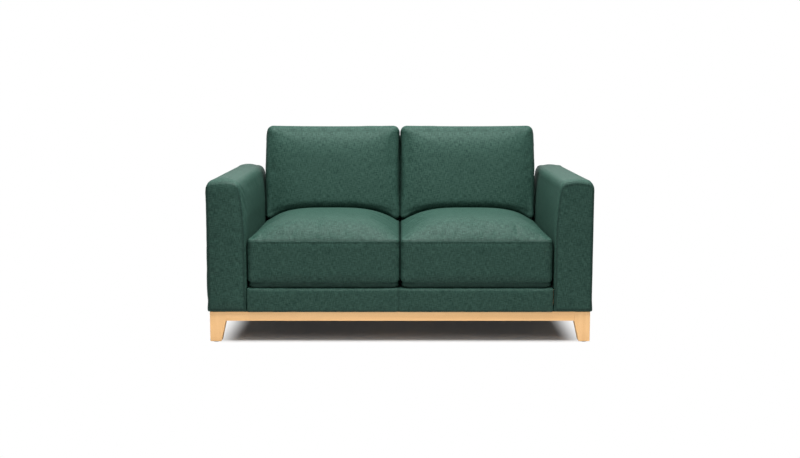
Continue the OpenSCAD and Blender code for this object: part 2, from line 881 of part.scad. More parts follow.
module seat_foam(side) {
    color("khaki") translate([side * seat_x, seat_y, seat_z + wrap_t + seat_core[2] / 2])
        cube(seat_core, center = true);
}

module seat_foam_left() { seat_foam(-1); }
module seat_foam_right() { seat_foam(1); }

module seat_zip_left() { translate([-seat_x, 0, 0]) at_seat_zip() zip_tape(seat_zip_l); }
module seat_zip_right() { translate([seat_x, 0, 0]) at_seat_zip() zip_tape(seat_zip_l); }
module seat_zip_slider_left() { translate([-seat_x, 0, 0]) at_seat_zip() zip_slider(seat_zip_l); }
module seat_zip_slider_right() { translate([seat_x, 0, 0]) at_seat_zip() zip_slider(seat_zip_l); }

// Takes the back cushion's own frame to its rest on the seat and against the back
module at_back(side) {
    translate([
        side * back_x,
        back_seat_y - soft_gap + back_travel * sin(lean),
        deck_z + back_travel * cos(lean)
    ])
        rotate([90 - lean, 0, 0]) children();
}

module at_back_zip(side) {
    at_back(side) translate([0, 0, back_boxing / 2]) mirror([0, 1, 0]) children();
}

module back_cushion(side) {
    color([0.24, 0.34, 0.3]) difference() {
        at_back(side) difference() {
            on_side(side) translate([0, back_cushion_h / 2, 0]) loft(back_rings);
            translate([0, back_cushion_h / 2, back_boxing / 2])
                cube([for (size = back_core) size + 2 * fit], center = true);
        }
        at_back_zip(side) zip_space(back_zip_l, zip_fold);
    }
}

module back_cushion_left() { back_cushion(-1); }
module back_cushion_right() { back_cushion(1); }

module back_foam(side) {
    color("ivory") at_back(side) translate([0, back_cushion_h / 2, back_boxing / 2])
        cube(back_core, center = true);
}

module back_foam_left() { back_foam(-1); }
module back_foam_right() { back_foam(1); }
module back_zip_left() { at_back_zip(-1) zip_tape(back_zip_l); }
module back_zip_right() { at_back_zip(1) zip_tape(back_zip_l); }
module back_zip_slider_left() { at_back_zip(-1) zip_slider(back_zip_l); }
module back_zip_slider_right() { at_back_zip(1) zip_slider(back_zip_l); }

leg_front_left();
leg_front_right();
leg_rear_left();
leg_rear_right();
leg_glides();
plinth_front_rail();
plinth_rear_rail();
plinth_side_rail_left();
plinth_side_rail_right();
plinth_centre_rail();
plinth_corner_blocks();
plinth_bolts();
dust_cover();
seat_front_rail();
seat_rear_rail();
seat_side_rail_left();
seat_side_rail_right();
seat_centre_rail();
seat_webbing();
seat_deck();
front_rail_cover();
arm_posts_left();
arm_posts_right();
arm_rails_left();
arm_rails_right();
arm_outer_panel_left();
arm_outer_panel_right();
arm_inner_panel_left();
arm_inner_panel_right();
arm_bolts();
arm_cover_left();
arm_cover_right();
back_posts();
back_top_rail();
back_bottom_rail();
back_webbing();
back_cover();
seat_cushion_left();
seat_cushion_right();
seat_foam_left();
seat_foam_right();
seat_zip_left();
seat_zip_right();
seat_zip_slider_left();
seat_zip_slider_right();
back_cushion_left();
back_cushion_right();
back_foam_left();
back_foam_right();
back_zip_left();
back_zip_right();
back_zip_slider_left();
back_zip_slider_right();
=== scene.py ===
# %% [markdown]
# A two-seat sofa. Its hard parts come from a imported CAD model, which is loaded first and never moved.
# Everything soft is modelled here: loose seat and back cushions, padded arms, a covered front rail and
# a covered back. The timber plinth gets rounded edges and a grain. Units are metres, the floor is at
# z = 0, the front faces -Y, and left is -X.

import math

import bpy
import numpy as np
from mathutils import Matrix, Vector
from mathutils.bvhtree import BVHTree


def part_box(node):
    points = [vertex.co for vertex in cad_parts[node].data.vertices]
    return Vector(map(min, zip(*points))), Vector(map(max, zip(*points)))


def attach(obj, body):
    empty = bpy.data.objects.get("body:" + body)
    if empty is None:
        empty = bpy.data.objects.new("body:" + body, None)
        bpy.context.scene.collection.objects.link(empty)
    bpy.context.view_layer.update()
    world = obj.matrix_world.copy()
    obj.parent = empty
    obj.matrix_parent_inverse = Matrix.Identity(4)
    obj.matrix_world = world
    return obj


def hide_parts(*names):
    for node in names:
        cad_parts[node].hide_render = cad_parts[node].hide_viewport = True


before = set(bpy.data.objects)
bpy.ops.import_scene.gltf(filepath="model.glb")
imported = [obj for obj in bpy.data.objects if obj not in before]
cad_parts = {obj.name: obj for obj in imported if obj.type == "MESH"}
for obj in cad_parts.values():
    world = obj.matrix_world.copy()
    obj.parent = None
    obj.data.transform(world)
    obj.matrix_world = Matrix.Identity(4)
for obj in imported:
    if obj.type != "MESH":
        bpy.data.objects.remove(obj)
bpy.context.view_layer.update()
scene = bpy.context.scene


# %% [markdown]
# The camera stands 4.97 m in front of the middle and just over a metre up, looking slightly down, so that
# upright edges still run nearly parallel. The picture is 800 by 458 pixels, and a 50 mm lens on a 36 mm
# sensor gives the same sense of depth as the photograph.

# %% Camera
CAMERA_PLACE = (0, -4.9662, 1.0652)
CAMERA_PITCH = math.radians(90 - 7.42)
bpy.ops.object.camera_add(location=CAMERA_PLACE, rotation=(CAMERA_PITCH, 0, 0))
camera = bpy.context.object
camera.name = "camera"
camera.data.lens = 50
camera.data.sensor_width = 36
scene.camera = camera
scene.view_settings.view_transform = "Standard"
print("camera at", CAMERA_PLACE)


# %% [markdown]
# A studio lights such a sofa with one very large soft box overhead, a weaker one in front and a faint one
# behind, which gives the tops their sheen. The floor is a plain pale surface that keeps the soft shadow.
# Outside a box round that shadow it turns into plain white for the camera alone, so that it meets the white
# behind it without a horizon.

# %% Lights
# Place, tilt in degrees, size and watts
LAMPS = {
    "overhead_box": ((0, -0.7, 3.2), 5, (2.4, 2.0), 258),
    "front_box": ((0, -4.2, 3.3), 53, (2.2, 2.2), 40),
    "rear_box": ((0, 3.2, 2.6), -56, (2.4, 1.2), 13),
}


def soft_box(name, place, tilt, size, watts):
    """A large area lamp with an even glow."""
    bpy.ops.object.light_add(type="AREA", location=place, rotation=(math.radians(tilt), 0, 0))
    lamp = bpy.context.object
    lamp.name = name
    lamp.data.shape = "RECTANGLE"
    lamp.data.size, lamp.data.size_y = size
    lamp.data.energy = watts


for name, facts in LAMPS.items():
    soft_box(name, *facts)
print("lamps:", list(LAMPS))


# %% World
WORLD_LEVEL = 0.105
world = bpy.data.worlds.new("studio")
scene.world = world
world.use_nodes = True
links, nodes = world.node_tree.links, world.node_tree.nodes
nodes.clear()
paths = nodes.new("ShaderNodeLightPath")
seen = nodes.new("ShaderNodeMath")
seen.operation = "MAXIMUM"
links.new(paths.outputs["Is Camera Ray"], seen.inputs[0])
links.new(paths.outputs["Is Glossy Ray"], seen.inputs[1])
lit, white, either = (nodes.new(kind) for kind in (
    "ShaderNodeBackground", "ShaderNodeBackground", "ShaderNodeMixShader"))
for glow, level in ((lit, WORLD_LEVEL), (white, 1)):
    glow.inputs["Color"].default_value = (1, 1, 1, 1)
    glow.inputs["Strength"].default_value = level
links.new(seen.outputs[0], either.inputs[0])
links.new(lit.outputs[0], either.inputs[1])
links.new(white.outputs[0], either.inputs[2])
links.new(either.outputs[0], nodes.new("ShaderNodeOutputWorld").inputs["Surface"])
print("world level:", WORLD_LEVEL)


# %% [markdown]
# Materials are built from nodes. A small class keeps the wiring short: it makes a node, sets its plain
# values, and links what is itself a socket.

# %% A wiring helper
class Recipe:
    """A material under construction, with one Principled shader."""

    def __init__(self, name):
        self.material = bpy.data.materials.new(name)
        self.material.use_nodes = True
        self.tree = self.material.node_tree
        self.shader = self.tree.nodes["Principled BSDF"]

    def put(self, socket, value):
        """Links a socket, or sets a plain value."""
        if isinstance(value, bpy.types.NodeSocket):
            self.tree.links.new(value, socket)
        elif isinstance(value, tuple) and len(value) == 3 and socket.type == "RGBA":
            socket.default_value = (*value, 1)
        else:
            socket.default_value = value

    def node(self, kind, inputs=None, **settings):
        """A node of that kind, with its inputs by name or number."""
        made = self.tree.nodes.new("ShaderNode" + kind)
        for key, value in settings.items():
            setattr(made, key, value)
        for key, value in (inputs or {}).items():
            self.put(made.inputs[key], value)
        return made

    def math(self, operation, a, b=0.0, c=0.0):
        return self.node("Math", {0: a, 1: b, 2: c}, operation=operation).outputs[0]

    def mix(self, factor, a, b):
        """A colour between a and b."""
        made = self.node("Mix", data_type="RGBA")
        for key, value in ((0, factor), (6, a), (7, b)):
            self.put(made.inputs[key], value)
        return made.outputs[2]

    def here(self):
        """The place on the piece, in metres."""
        return self.node("TexCoord").outputs["Object"]

    def noise(self, place, scale, detail=2.0, roughness=0.5):
        settings = {"Vector": place, "Scale": scale, "Detail": detail, "Roughness": roughness}
        return self.node("TexNoise", settings).outputs["Fac"]

    def stretched(self, place, scale, turn=(0, 0, 0)):
        return self.node("Mapping", {"Vector": place, "Scale": scale, "Rotation": turn}).outputs[0]

    def between(self, value, low, high, to_low=0.0, to_high=1.0):
        """Value from low..high to to_low..to_high, clamped."""
        return self.node("MapRange", {0: value, 1: low, 2: high, 3: to_low, 4: to_high}).outputs[0]

    def bump(self, height, strength, distance):
        made = self.node("Bump", {"Height": height, "Strength": strength, "Distance": distance})
        self.put(self.shader.inputs["Normal"], made.outputs[0])

    def tinted(self, factor, dark, pale, roughness, **more):
        """The material, with a colour from dark to pale, a roughness and more."""
        return self.set(Base_Color=self.mix(factor, dark, pale), Roughness=roughness, **more)

    def set(self, **values):
        """Values of the shader's sockets, with _ for a space."""
        for key, value in values.items():
            self.put(self.shader.inputs[key.replace("_", " ")], value)
        return self.material


# %% Floor
FLOOR_HALF, FLOOR_GREY = 14, 0.62
# Half the box that keeps its shadow, the width of its fading edge, and the share of white glow where the fade
# starts.
# That share of glow also lies over the whole shadow inside the box, as painted light that lightens it.
SHADOW_HALF, SHADOW_FADE, SHADOW_LIFT = (0.668, 0.372, 1.0), 0.13, 0.022
floor_recipe = Recipe("studio_floor")
place = floor_recipe.here()
sideways = floor_recipe.node("VectorMath", {0: place}, operation="ABSOLUTE").outputs[0]
outside = floor_recipe.node("VectorMath", {0: sideways, 1: SHADOW_HALF}, operation="SUBTRACT").outputs[0]
outside = floor_recipe.node("VectorMath", {0: outside, 1: (0, 0, 0)}, operation="MAXIMUM").outputs[0]
reach = floor_recipe.node("VectorMath", {0: outside}, operation="LENGTH").outputs["Value"]
far = floor_recipe.node("MapRange", {0: reach, 1: 0.0, 2: SHADOW_FADE, 3: SHADOW_LIFT},
                        interpolation_type="SMOOTHSTEP").outputs[0]
camera_ray = floor_recipe.node("LightPath").outputs["Is Camera Ray"]
floor_recipe.set(Base_Color=(FLOOR_GREY,) * 3, Roughness=0.85, Specular_IOR_Level=0.1)
glow = floor_recipe.node("Emission", {"Color": (1, 1, 1), "Strength": 1.0}).outputs[0]
fade = floor_recipe.node("MixShader", {
    0: floor_recipe.math("MULTIPLY", far, camera_ray), 1: floor_recipe.shader.outputs[0], 2: glow})
floor_recipe.put(floor_recipe.tree.nodes["Material Output"].inputs["Surface"], fade.outputs[0])
bpy.ops.mesh.primitive_plane_add(size=2 * FLOOR_HALF)
floor = bpy.context.object
floor.name = "studio_floor"
floor.data.materials.append(floor_recipe.material)
print("floor", FLOOR_HALF * 2, "m across")


# %% [markdown]
# The cover is a woven cloth in mottled dark green. Close up it is a plain weave of thick and thin yarns.
# From a few steps away only short streaks along the warp and the weft are seen. The weave follows each panel
# through a UV map in metres, so that the threads turn with the panel. Shade is painted into the colour along
# the seams, along lower edges and over the recessed band under each seat cushion: each piece holds that
# painted shade as an attribute.

# %% Woven cloth
YARN = 0.0016
STREAK, SLUB_ALONG, SLUB_ACROSS = 0.6, 0.7, 6.5
SLUB_WEIGHT, BROAD_WEIGHT = 0.64, 0.08
DARKEST_TONE, PALEST_TONE = 0.37, 0.63
CLOTH_ROUGHNESS, CLOTH_SPECULAR = 0.6, 0.12
DARK_YARN, PALE_YARN = (0.0072, 0.0275, 0.0202), (0.0308, 0.0720, 0.0556)
# The dark green that painted shade mixes into the cloth at seams, lower edges and recesses
PAINTED_SHADE_COLOUR = (0.002, 0.011, 0.008)
DARK_THREAD, PALE_THREAD = (0.011, 0.031, 0.023), (0.026, 0.062, 0.047)
WAVES_PER_YARN = 0.3142  # a wave texture repeats 10 / pi times a unit at scale 1


def woven_cloth(name, dark, pale, yarn=YARN):
    """A plain weave of mottled yarns."""
    cloth = Recipe(name)
    flat = cloth.node("UVMap", uv_map="weave").outputs["UV"]
    fine, coarse = 1 / yarn, 1 / (9 * yarn)

    def both_ways(along, across, *grain):
        """Streaks along the weft and along the warp, added up."""
        ways = ((along, across, 1), (across, along, 1))
        return cloth.math("ADD", *(cloth.noise(cloth.stretched(flat, way), 1.0, *grain) for way in ways))

    yarns = both_ways(coarse * STREAK, fine, 2.0)
    slubs = both_ways(coarse * SLUB_ALONG, coarse * SLUB_ACROSS, 3.0, 0.6)
    broad = cloth.noise(flat, 9.0, 3.0, 0.55)
    tone = cloth.math("MULTIPLY_ADD", slubs, SLUB_WEIGHT, -SLUB_WEIGHT)
    tone = cloth.math("MULTIPLY_ADD", yarns, 0.5, tone)
    tone = cloth.math("ADD", tone, cloth.math("MULTIPLY_ADD", broad, BROAD_WEIGHT, -BROAD_WEIGHT / 2))
    tone = cloth.between(tone, DARKEST_TONE, PALEST_TONE)
    # Painted shade: the piece's attribute darkens the cloth towards that dark green at seams, lower edges and
    # the recessed band
    painted_shade = cloth.node("Attribute", attribute_name="painted_seam_shade").outputs["Fac"]
    waves = {"Vector": flat, "Scale": WAVES_PER_YARN / yarn}
    over_under = (cloth.node("TexWave", waves, bands_direction=axis).outputs["Fac"] for axis in "XY")
    weave = cloth.math("ADD", *over_under)
    height = cloth.math("MULTIPLY_ADD", weave, 0.25, cloth.math("MULTIPLY_ADD", slubs, 0.3, yarns))
    cloth.bump(height, 0.25, 0.0007)
    colour = cloth.mix(painted_shade, cloth.mix(tone, dark, pale), PAINTED_SHADE_COLOUR)
    return cloth.set(Base_Color=colour, Roughness=CLOTH_ROUGHNESS, Specular_IOR_Level=CLOTH_SPECULAR)


def sewing_thread():
    spun = Recipe("green_thread")
    fibres = spun.noise(spun.here(), 1600.0, 2.0)
    spun.bump(fibres, 0.3, 0.0002)
    return spun.tinted(fibres, DARK_THREAD, PALE_THREAD, CLOTH_ROUGHNESS, Specular_IOR_Level=CLOTH_SPECULAR)


green_cloth, thread = woven_cloth("green_woven_cloth", DARK_YARN, PALE_YARN), sewing_thread()
print("cloth:", green_cloth.name, thread.name)


# %% [markdown]
# A padded piece is a closed block of quads whose vertices are moved to a rounded, crowned shape. A grid is
# extruded once, and the upright edges are cut into rings, so that every seam gets three lines of its own
# and stays crisp. Sculpting would be freer, but a seam needs lines that follow it.

# %% Blocks of quads
SEAM_LINE = 0.0028


def deselect():
    bpy.ops.object.select_all(action="DESELECT")


def pick(piece):
    """Makes a piece the only one selected, and the active one."""
    deselect()
    piece.select_set(True)
    bpy.context.view_layer.objects.active = piece


def mode(name):
    bpy.ops.object.mode_set(mode=name)


def modify(piece, kind, **settings):
    """Gives the active piece a modifier with those settings, and applies it."""
    modifier = piece.modifiers.new(kind.lower(), kind)
    for key, value in settings.items():
        setattr(modifier, key, value)
    bpy.ops.object.modifier_apply(modifier=modifier.name)


def dress(piece, material):
    piece.data.materials.clear()
    piece.data.materials.append(material)


def skin_of(piece):
    """A tree that rays can hit."""
    mesh = piece.data
    return BVHTree.FromPolygons([v.co for v in mesh.vertices], [p.vertices for p in mesh.polygons])


def lines(length, pitch, start=(0,), end=(0,), seams=(), single=()):
    """Places of grid lines: those given at both ends, three at each seam, one at each single place, and the
    rest at an even pitch."""
    wanted = sorted([*start, *(length - e for e in end), *single,
                     *(s + o for s in seams for o in (-SEAM_LINE, 0, SEAM_LINE))])
    fixed = [p for p, q in zip(wanted, wanted[1:] + [math.inf]) if q - p > 1e-5]
    found = []
    for a, b in zip(fixed, fixed[1:]):
        parts = max(1, round((b - a) / pitch))
        found += [a + (b - a) * n / parts for n in range(parts)]
    return np.array(found + [fixed[-1]])


def arc_lines(radius, steps=4):
    """Depths of the lines round an edge of that radius."""
    return tuple(radius * (1 - math.cos(math.pi / 2 * n / steps)) for n in range(steps + 1))


def read_places(obj):
    flat = np.empty(len(obj.data.vertices) * 3)
    obj.data.vertices.foreach_get("co", flat)
    return flat.reshape(-1, 3)


def write_places(obj, places):
    obj.data.vertices.foreach_set("co", np.ascontiguousarray(places, dtype=float).ravel())
    obj.data.update()


def sized_box(node):
    """The low and the high corner of a CAD node, and its three sizes."""
    low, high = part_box(node)
    return low, high, [high[n] - low[n] for n in range(3)]


def keep_within(piece, *limits):
    """Brings back what lies past a low and a high limit, given for each axis in turn."""
    places = read_places(piece)
    for axis, (low, high) in enumerate(limits):
        places[:, axis] = np.clip(places[:, axis], low, high)
    write_places(piece, places)
    return places


def quad_block(name, *rows):
    """A closed block of quads with grid lines at those places each way. Gives it, each vertex's three numbers
    in its grid, and each vertex's three places."""
    across, along, up = (len(row) - 1 for row in rows)
    deselect()
    bpy.ops.mesh.primitive_grid_add(x_subdivisions=across, y_subdivisions=along, size=2)
    block = bpy.context.object
    block.name = block.data.name = name
    mode("EDIT")
    bpy.ops.mesh.select_mode(type="EDGE")
    bpy.ops.mesh.select_all(action="SELECT")
    bpy.ops.mesh.extrude_region_move(TRANSFORM_OT_translate={"value": (0, 0, 1)})
    bpy.ops.mesh.select_all(action="DESELECT")
    mode("OBJECT")
    z = read_places(block)[:, 2]
    for edge in block.data.edges:
        a, b = edge.vertices
        edge.select = bool(abs(z[a] - z[b]) > 0.5)
    mode("EDIT")
    bpy.ops.mesh.subdivide(number_cuts=up - 1)
    bpy.ops.mesh.select_all(action="SELECT")
    bpy.ops.mesh.normals_make_consistent(inside=False)
    mode("OBJECT")
    grid = read_places(block)
    steps = np.stack([(grid[:, 0] + 1) / 2 * across, (grid[:, 1] + 1) / 2 * along, grid[:, 2] * up], 1)
    steps = np.rint(steps).astype(int)
    return block, steps, [row[steps[:, n]] for n, row in enumerate(rows)]


def rounded(x, y, w, d, radii, inset):
    """Places on a w by d rectangle, drawn in by inset, with a round corner where radii[right][far] says."""
    x = inset + x * (w - 2 * inset) / w
    y = inset + y * (d - 2 * inset) / d
    for right in (0, 1):
        for far in (0, 1):
            r = np.maximum(radii[right][far] - inset, 1e-5)
            p = 1 - (w - inset - x if right else x - inset) / r
            q = 1 - (d - inset - y if far else y - inset) / r
            corner = (p > 0) & (q > 0)
            pull = np.maximum(p, q) / np.maximum(np.hypot(p, q), 1e-9)
            new_x = inset + r * (1 - p * pull)
            new_y = inset + r * (1 - q * pull)
            x = np.where(corner, w - new_x if right else new_x, x)
            y = np.where(corner, d - new_y if far else new_y, y)
    return x, y


def edge_inset(z, length, start_r, end_r):
    """How far a round edge at either end draws the outline in at height z."""
    low = np.clip(start_r - z, 0, start_r)
    high = np.clip(end_r - (length - z), 0, end_r)
    return start_r - np.sqrt(start_r**2 - low**2) + end_r - np.sqrt(end_r**2 - high**2)


def near(z, place, reach):
    """1 at a place, falling to nothing over the reach."""
    return np.exp(-(((z - place) / reach) ** 2))


print("lines on a 0.1 m edge:", len(lines(0.1, 0.01, arc_lines(0.02), (0,), [0.05])))


# %% [markdown]
# Real covers are cut a little large for their filling and pulled tight at the seams, so small puckers run
# away from the stitching. Cloth simulation gives them: the seams are pinned, the cloth is a little longer
# than its panel, and pressure pushes it out. What it may move is capped, so that a piece keeps clear of
# its neighbours, and the result is applied and subdivided once.

# %% Cloth simulation
CLOTH_FRAMES = 20


def swell(piece, pinned, cap, pressure=2.5, slack=0.01, stiffness=18):
    """Swells a piece between its pinned vertices, by no more than the cap."""
    before = read_places(piece)
    group = piece.vertex_groups.new(name="held")
    group.add([int(n) for n in np.flatnonzero(pinned)], 1.0, "REPLACE")
    scene.frame_set(1)
    cloth = piece.modifiers.new("cloth", "CLOTH")
    settings = cloth.settings
    settings.quality = 4
    settings.mass = 0.3
    settings.tension_stiffness = settings.compression_stiffness = stiffness
    settings.bending_stiffness = 1.2
    settings.vertex_group_mass = group.name
    settings.shrink_min = -slack
    settings.use_pressure = True
    settings.uniform_pressure_force = pressure
    settings.effector_weights.gravity = 0
    cloth.point_cache.frame_start, cloth.point_cache.frame_end = 1, CLOTH_FRAMES
    for number in range(1, CLOTH_FRAMES + 1):
        scene.frame_set(number)
    pick(piece)
    bpy.ops.object.modifier_apply(modifier=cloth.name)
    scene.frame_set(1)
    move = read_places(piece) - before
    length = np.linalg.norm(move, axis=1, keepdims=True)
    write_places(piece, before + move * np.minimum(1, cap / np.maximum(length, 1e-9)))
    piece.vertex_groups.clear()
    print(piece.name, "swelled by up to", round(float(length.max()) * 1000, 1), "mm")


def finish_cloth(piece, body, stands_for, painted_shade=0.0, levels=1, material=green_cloth):
    """Weave map, painted seam shade, subdivision, material, the body it rides with and the CAD part it hides,
    for a covered piece.
    """
    # The painted shade is stored per vertex, for the cloth to darken with
    painted_shades = piece.data.attributes.new("painted_seam_shade", "FLOAT", "POINT")
    painted_shades.data.foreach_set("value", np.clip(painted_shade + np.zeros(len(piece.data.vertices)), 0, 1))
    pick(piece)
    while piece.data.uv_layers:
        piece.data.uv_layers.remove(piece.data.uv_layers[0])
    piece.data.uv_layers.new(name="weave")
    mode("EDIT")
    bpy.ops.mesh.select_all(action="SELECT")
    bpy.ops.uv.cube_project(cube_size=1, correct_aspect=False, clip_to_bounds=False, scale_to_bounds=False)
    mode("OBJECT")
    if levels:
        modify(piece, "SUBSURF", levels=levels, render_levels=levels, boundary_smooth="ALL")
    bpy.ops.object.shade_smooth()
    dress(piece, material)
    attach(piece, body)
    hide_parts(stands_for)
    size = np.ptp(read_places(piece), axis=0)
    print(piece.name, len(piece.data.polygons), "faces,", np.round(size * 1000).astype(int), "mm")


# %% [markdown]
# A seat cushion is a box cushion: a boxing strip sewn between a top and a bottom panel. The top is filled
# so high that it rises 79 mm above its seam, steeply at the front and then nearly flat. A second row of
# stitches runs under the top seam. The lower edge turns in to its own seam, and a narrow band of the bottom
# panel shows under it. The size is taken from the CAD cushion, so that it fits between the arms and under
# the back cushion. A zip lies in a fold in the middle of the rear face.

# %% Seat cushions
SEAT_SEAM_RISE = 0.198
LOWER_SEAM = 0.0225
# Height over the underside, and how far the side stands in there
SEAT_FOOT = (
    (0, 0.0095), (0.0015, 0.0066), (0.005, 0.0052), (0.010, 0.0046), (0.016, 0.0046), (0.020, 0.0056),
    (LOWER_SEAM, 0.0082), (0.0250, 0.0052), (0.0285, 0.0026), (0.034, 0.0010), (0.042, 0))
FOOT_CORNER_LIFT, FOOT_CORNER_REACH = 0.004, 0.022
# Joins in the band under the lower seam, as they fall on each cushion
BAND_JOINS = {"left": (-0.345, -0.145), "right": (0.487,)}
STITCH_DROP = 0.0095
SEAT_CORNER = 0.026
SEAT_PULL = 0.002
CROWN_POWER, FRONT_POWER = 3.5, 8.5
SEAM_DEPTH, STITCH_DENT, JOIN_DENT = 0.0034, 0.001, 0.0016
SEAT_EDGE_LINES = (0, SEAM_LINE, 0.007, 0.014)
# The filling stands up behind the seam: how high, how far in, and where it has faded out
LIP, LIP_REACH, LIP_END = 0.003, 0.004, 0.03
CUSHION_PITCH = 0.0095
FOLD_WIDTH, FOLD_DEPTH, FOLD_WALL = 0.0125, 0.0109, 0.003
SIDES = {"left": -1, "right": 1}


def crown(x, y, w, d, inset, power, near_power, near_inset):
    """1 in the middle of a panel, 0 at its seams. The near half has a power and an inset of its own."""
    near_half = y < d / 2
    u = np.clip(abs(x - w / 2) / (w / 2 - inset), 0, 1)
    v = np.clip(abs(y - d / 2) / (d / 2 - np.where(near_half, near_inset, inset)), 0, 1)
    return (1 - u**power) * (1 - v ** np.where(near_half, near_power, power))


def fold_lines(middle, half):
    """Places of the lines that a zip's fold needs across it or along it."""
    return [middle + s * r for s in (-1, 1) for r in (half, half + FOLD_WALL)]


def in_fold(x, z, middle, half_length):
    """1 on the floor of a zip's fold round a middle (x, z), 0 outside its walls."""
    along = np.clip((half_length + FOLD_WALL - abs(x - middle[0])) / FOLD_WALL, 0, 1)
    across = np.clip((FOLD_WIDTH + FOLD_WALL - abs(z - middle[1])) / FOLD_WALL, 0, 1)
    return along * across


def pulled_in(x, y, w, d, pulls):
    """The four sides pull in between their corners: left, right, near and far."""
    left, right, near_side, far_side = pulls
    s, t = x / w, y / d

    def pull(along, across, first, last):
        return 4 * across * (1 - across) * (
            first * np.clip(1 - 2 * along, 0, 1) - last * np.clip(2 * along - 1, 0, 1))

    return x + pull(s, t, left, right), y + pull(t, s, near_side, far_side)


def seat_cushion(side):
    low, high, (w, d, rise) = sized_box(f"seat_cushion_{side}")
    h = SEAT_SEAM_RISE
    zip_low, zip_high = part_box(f"seat_zip_{side}")
    zip_half = (zip_high[0] - zip_low[0]) / 2
    zip_middle = ((zip_low[0] + zip_high[0]) / 2 - low[0], (zip_low[2] + zip_high[2]) / 2 - low[2])
    edge = SEAT_EDGE_LINES
    joins = [place - low[0] for place in BAND_JOINS[side]]
    xs = lines(w, CUSHION_PITCH, edge, edge, joins, fold_lines(zip_middle[0], zip_half))
    ys = lines(d, CUSHION_PITCH, edge, edge)
    stitch_z = h - STITCH_DROP
    foot_z, foot_inset = zip(*SEAT_FOOT)
    zs = lines(h, CUSHION_PITCH, foot_z, (0, SEAM_LINE), [stitch_z], fold_lines(zip_middle[1], FOLD_WIDTH))
    cushion, grid, (x, y, z) = quad_block(f"seat_cushion_{side}_cover", xs, ys, zs)
    top = grid[:, 2] == len(zs) - 1
    from_seam = np.minimum.reduce([x, w - x, y, d - y])
    inset = np.interp(z, foot_z, foot_inset) + STITCH_DENT * near(z, stitch_z, SEAM_LINE * 0.7)
    inset = inset + SEAM_DEPTH * near(z, h, SEAM_LINE * 0.8)
    for join in joins:
        band = (z > 0) & (z < LOWER_SEAM - 0.001) & (y < d / 2)
        inset = inset + JOIN_DENT * near(x, join, SEAM_LINE * 0.6) * band
    corner = np.hypot(np.minimum(x, w - x), np.minimum(y, d - y))
    lift = FOOT_CORNER_LIFT * near(corner, 0, FOOT_CORNER_REACH) * np.clip(1 - z / LOWER_SEAM, 0, 1)
    fold = in_fold(x, z, zip_middle, zip_half) * (y > d - 1e-6)
    x, y = rounded(x, y, w, d, ((SEAT_CORNER,) * 2,) * 2, inset)
    lip = LIP * from_seam / LIP_REACH * np.exp(1 - from_seam / LIP_REACH)
    dome = crown(x, y, w, d, SEAM_DEPTH, CROWN_POWER, FRONT_POWER, SEAM_DEPTH)
    z = np.where(top, h + (rise - h) * dome + lip * np.clip(1 - from_seam / LIP_END, 0, 1), z + lift)
    x, y = pulled_in(x, y, w, d, (SEAT_PULL,) * 4)
    y = y + fold * (d - FOLD_DEPTH - y)
    write_places(cushion, np.stack([x + low[0], y + low[1], z + low[2]], 1))
    at = grid[:, 2]
    seam_rows = np.isin(at, [int(np.argmin(abs(zs - s))) for s in (LOWER_SEAM, stitch_z)])
    sewn = seam_rows | (top & (from_seam < 1e-6)) | (at == 0) | (fold > 0)
    swell(cushion, sewn, cap=0.004)
    after = keep_within(cushion, (low[0], high[0]), (low[1], high[1]))
    level = after[:, 2] - low[2]
    upright = ~top & (at > 0)
    # Painted shade: darker along the top seam, the second row of stitches and the lower seam, and darkest
    # over the recessed band under it
    painted_shade = 0.5 * np.where(top, near(from_seam, 0, 0.003), near(level, h, 0.003)) + (
        0.4 * near(level, stitch_z, 0.0022) + 0.30 * near(level, LOWER_SEAM, 0.004)
        + 0.65 * (level < LOWER_SEAM)) * upright
    finish_cloth(cushion, f"seat_cushion_{side}", f"seat_cushion_{side}", painted_shade=painted_shade)
    return cushion


seat_cushions = {side: seat_cushion(side) for side in SIDES}


# %% [markdown]
# A back cushion is softer than a seat cushion. It has a seam round its rear edge, but its front face rolls
# over its edges without one. It is modelled lying on its rear face, leaned back with the CAD cushion, and
# set down on the seat cushion's crown. Soft filling settles there: a ray from each low point finds the gap
# under it, and the cushion's lower part stretches down into that gap, or is pressed up where the crown is
# higher. Its zip lies in a fold in the middle of the lower face.

# %% Back cushions
LEAN = math.radians(8)
BACK_SIZE = (0.628, 0.409)
BACK_EDGE_RISE = 0.124
BACK_RISE = 0.150
BACK_CORNER, BACK_FOOT = 0.030, 0.014
BACK_REAR_EDGE, BACK_FRONT_EDGE, BACK_FOOT_EDGE = 0.018, 0.030, 0.012
BACK_PULL, BACK_BULGE = 0.003, 0.009
BACK_CROWN_POWER, BACK_FOOT_POWER = 3.8, 20
BACK_FOOT_INSET, BACK_FOOT_REACH, BACK_FOOT_HELD = 0.004, 0.06, 0.012
BACK_FOOT_LINES = (0, 0.004, 0.010, 0.018)
BACK_SEAM_DENT = 0.002
SETTLE_MOST, SETTLE_REACH, SETTLE_CLEAR = 0.036, 0.17, 0.001
SETTLE_RAY, SETTLE_LIFT = 0.02, 0.01
BACK_ZIP_Z = 0.063
back_places = {}


def settle_on_seat(cushion, side, flat, fold):
    """Stretches the lower part of a back cushion down to the seat cushion, or presses it up by a little,
    and less towards its zip's floor."""
    skin = skin_of(seat_cushions[side])
    up = Vector((0, math.sin(LEAN), math.cos(LEAN)))
    places = read_places(cushion)
    share = np.clip(1 - flat[:, 1] / SETTLE_REACH, 0, 1) ** 2 * (1 - fold)
    for number in np.flatnonzero(share > 0):
        foot = Vector(places[number]) - up * float(flat[number, 1])
        _, _, _, gap = skin.ray_cast(foot + up * SETTLE_RAY, -up)
        if gap is None:
            gap = SETTLE_MOST
        else:
            gap = min(max(gap - SETTLE_RAY - SETTLE_CLEAR, -SETTLE_LIFT), SETTLE_MOST)
        places[number] -= np.array(up) * gap * share[number]
    write_places(cushion, places)
    print(cushion.name, "settled; lowest point", round(float(places[:, 2].min()), 4), "m")


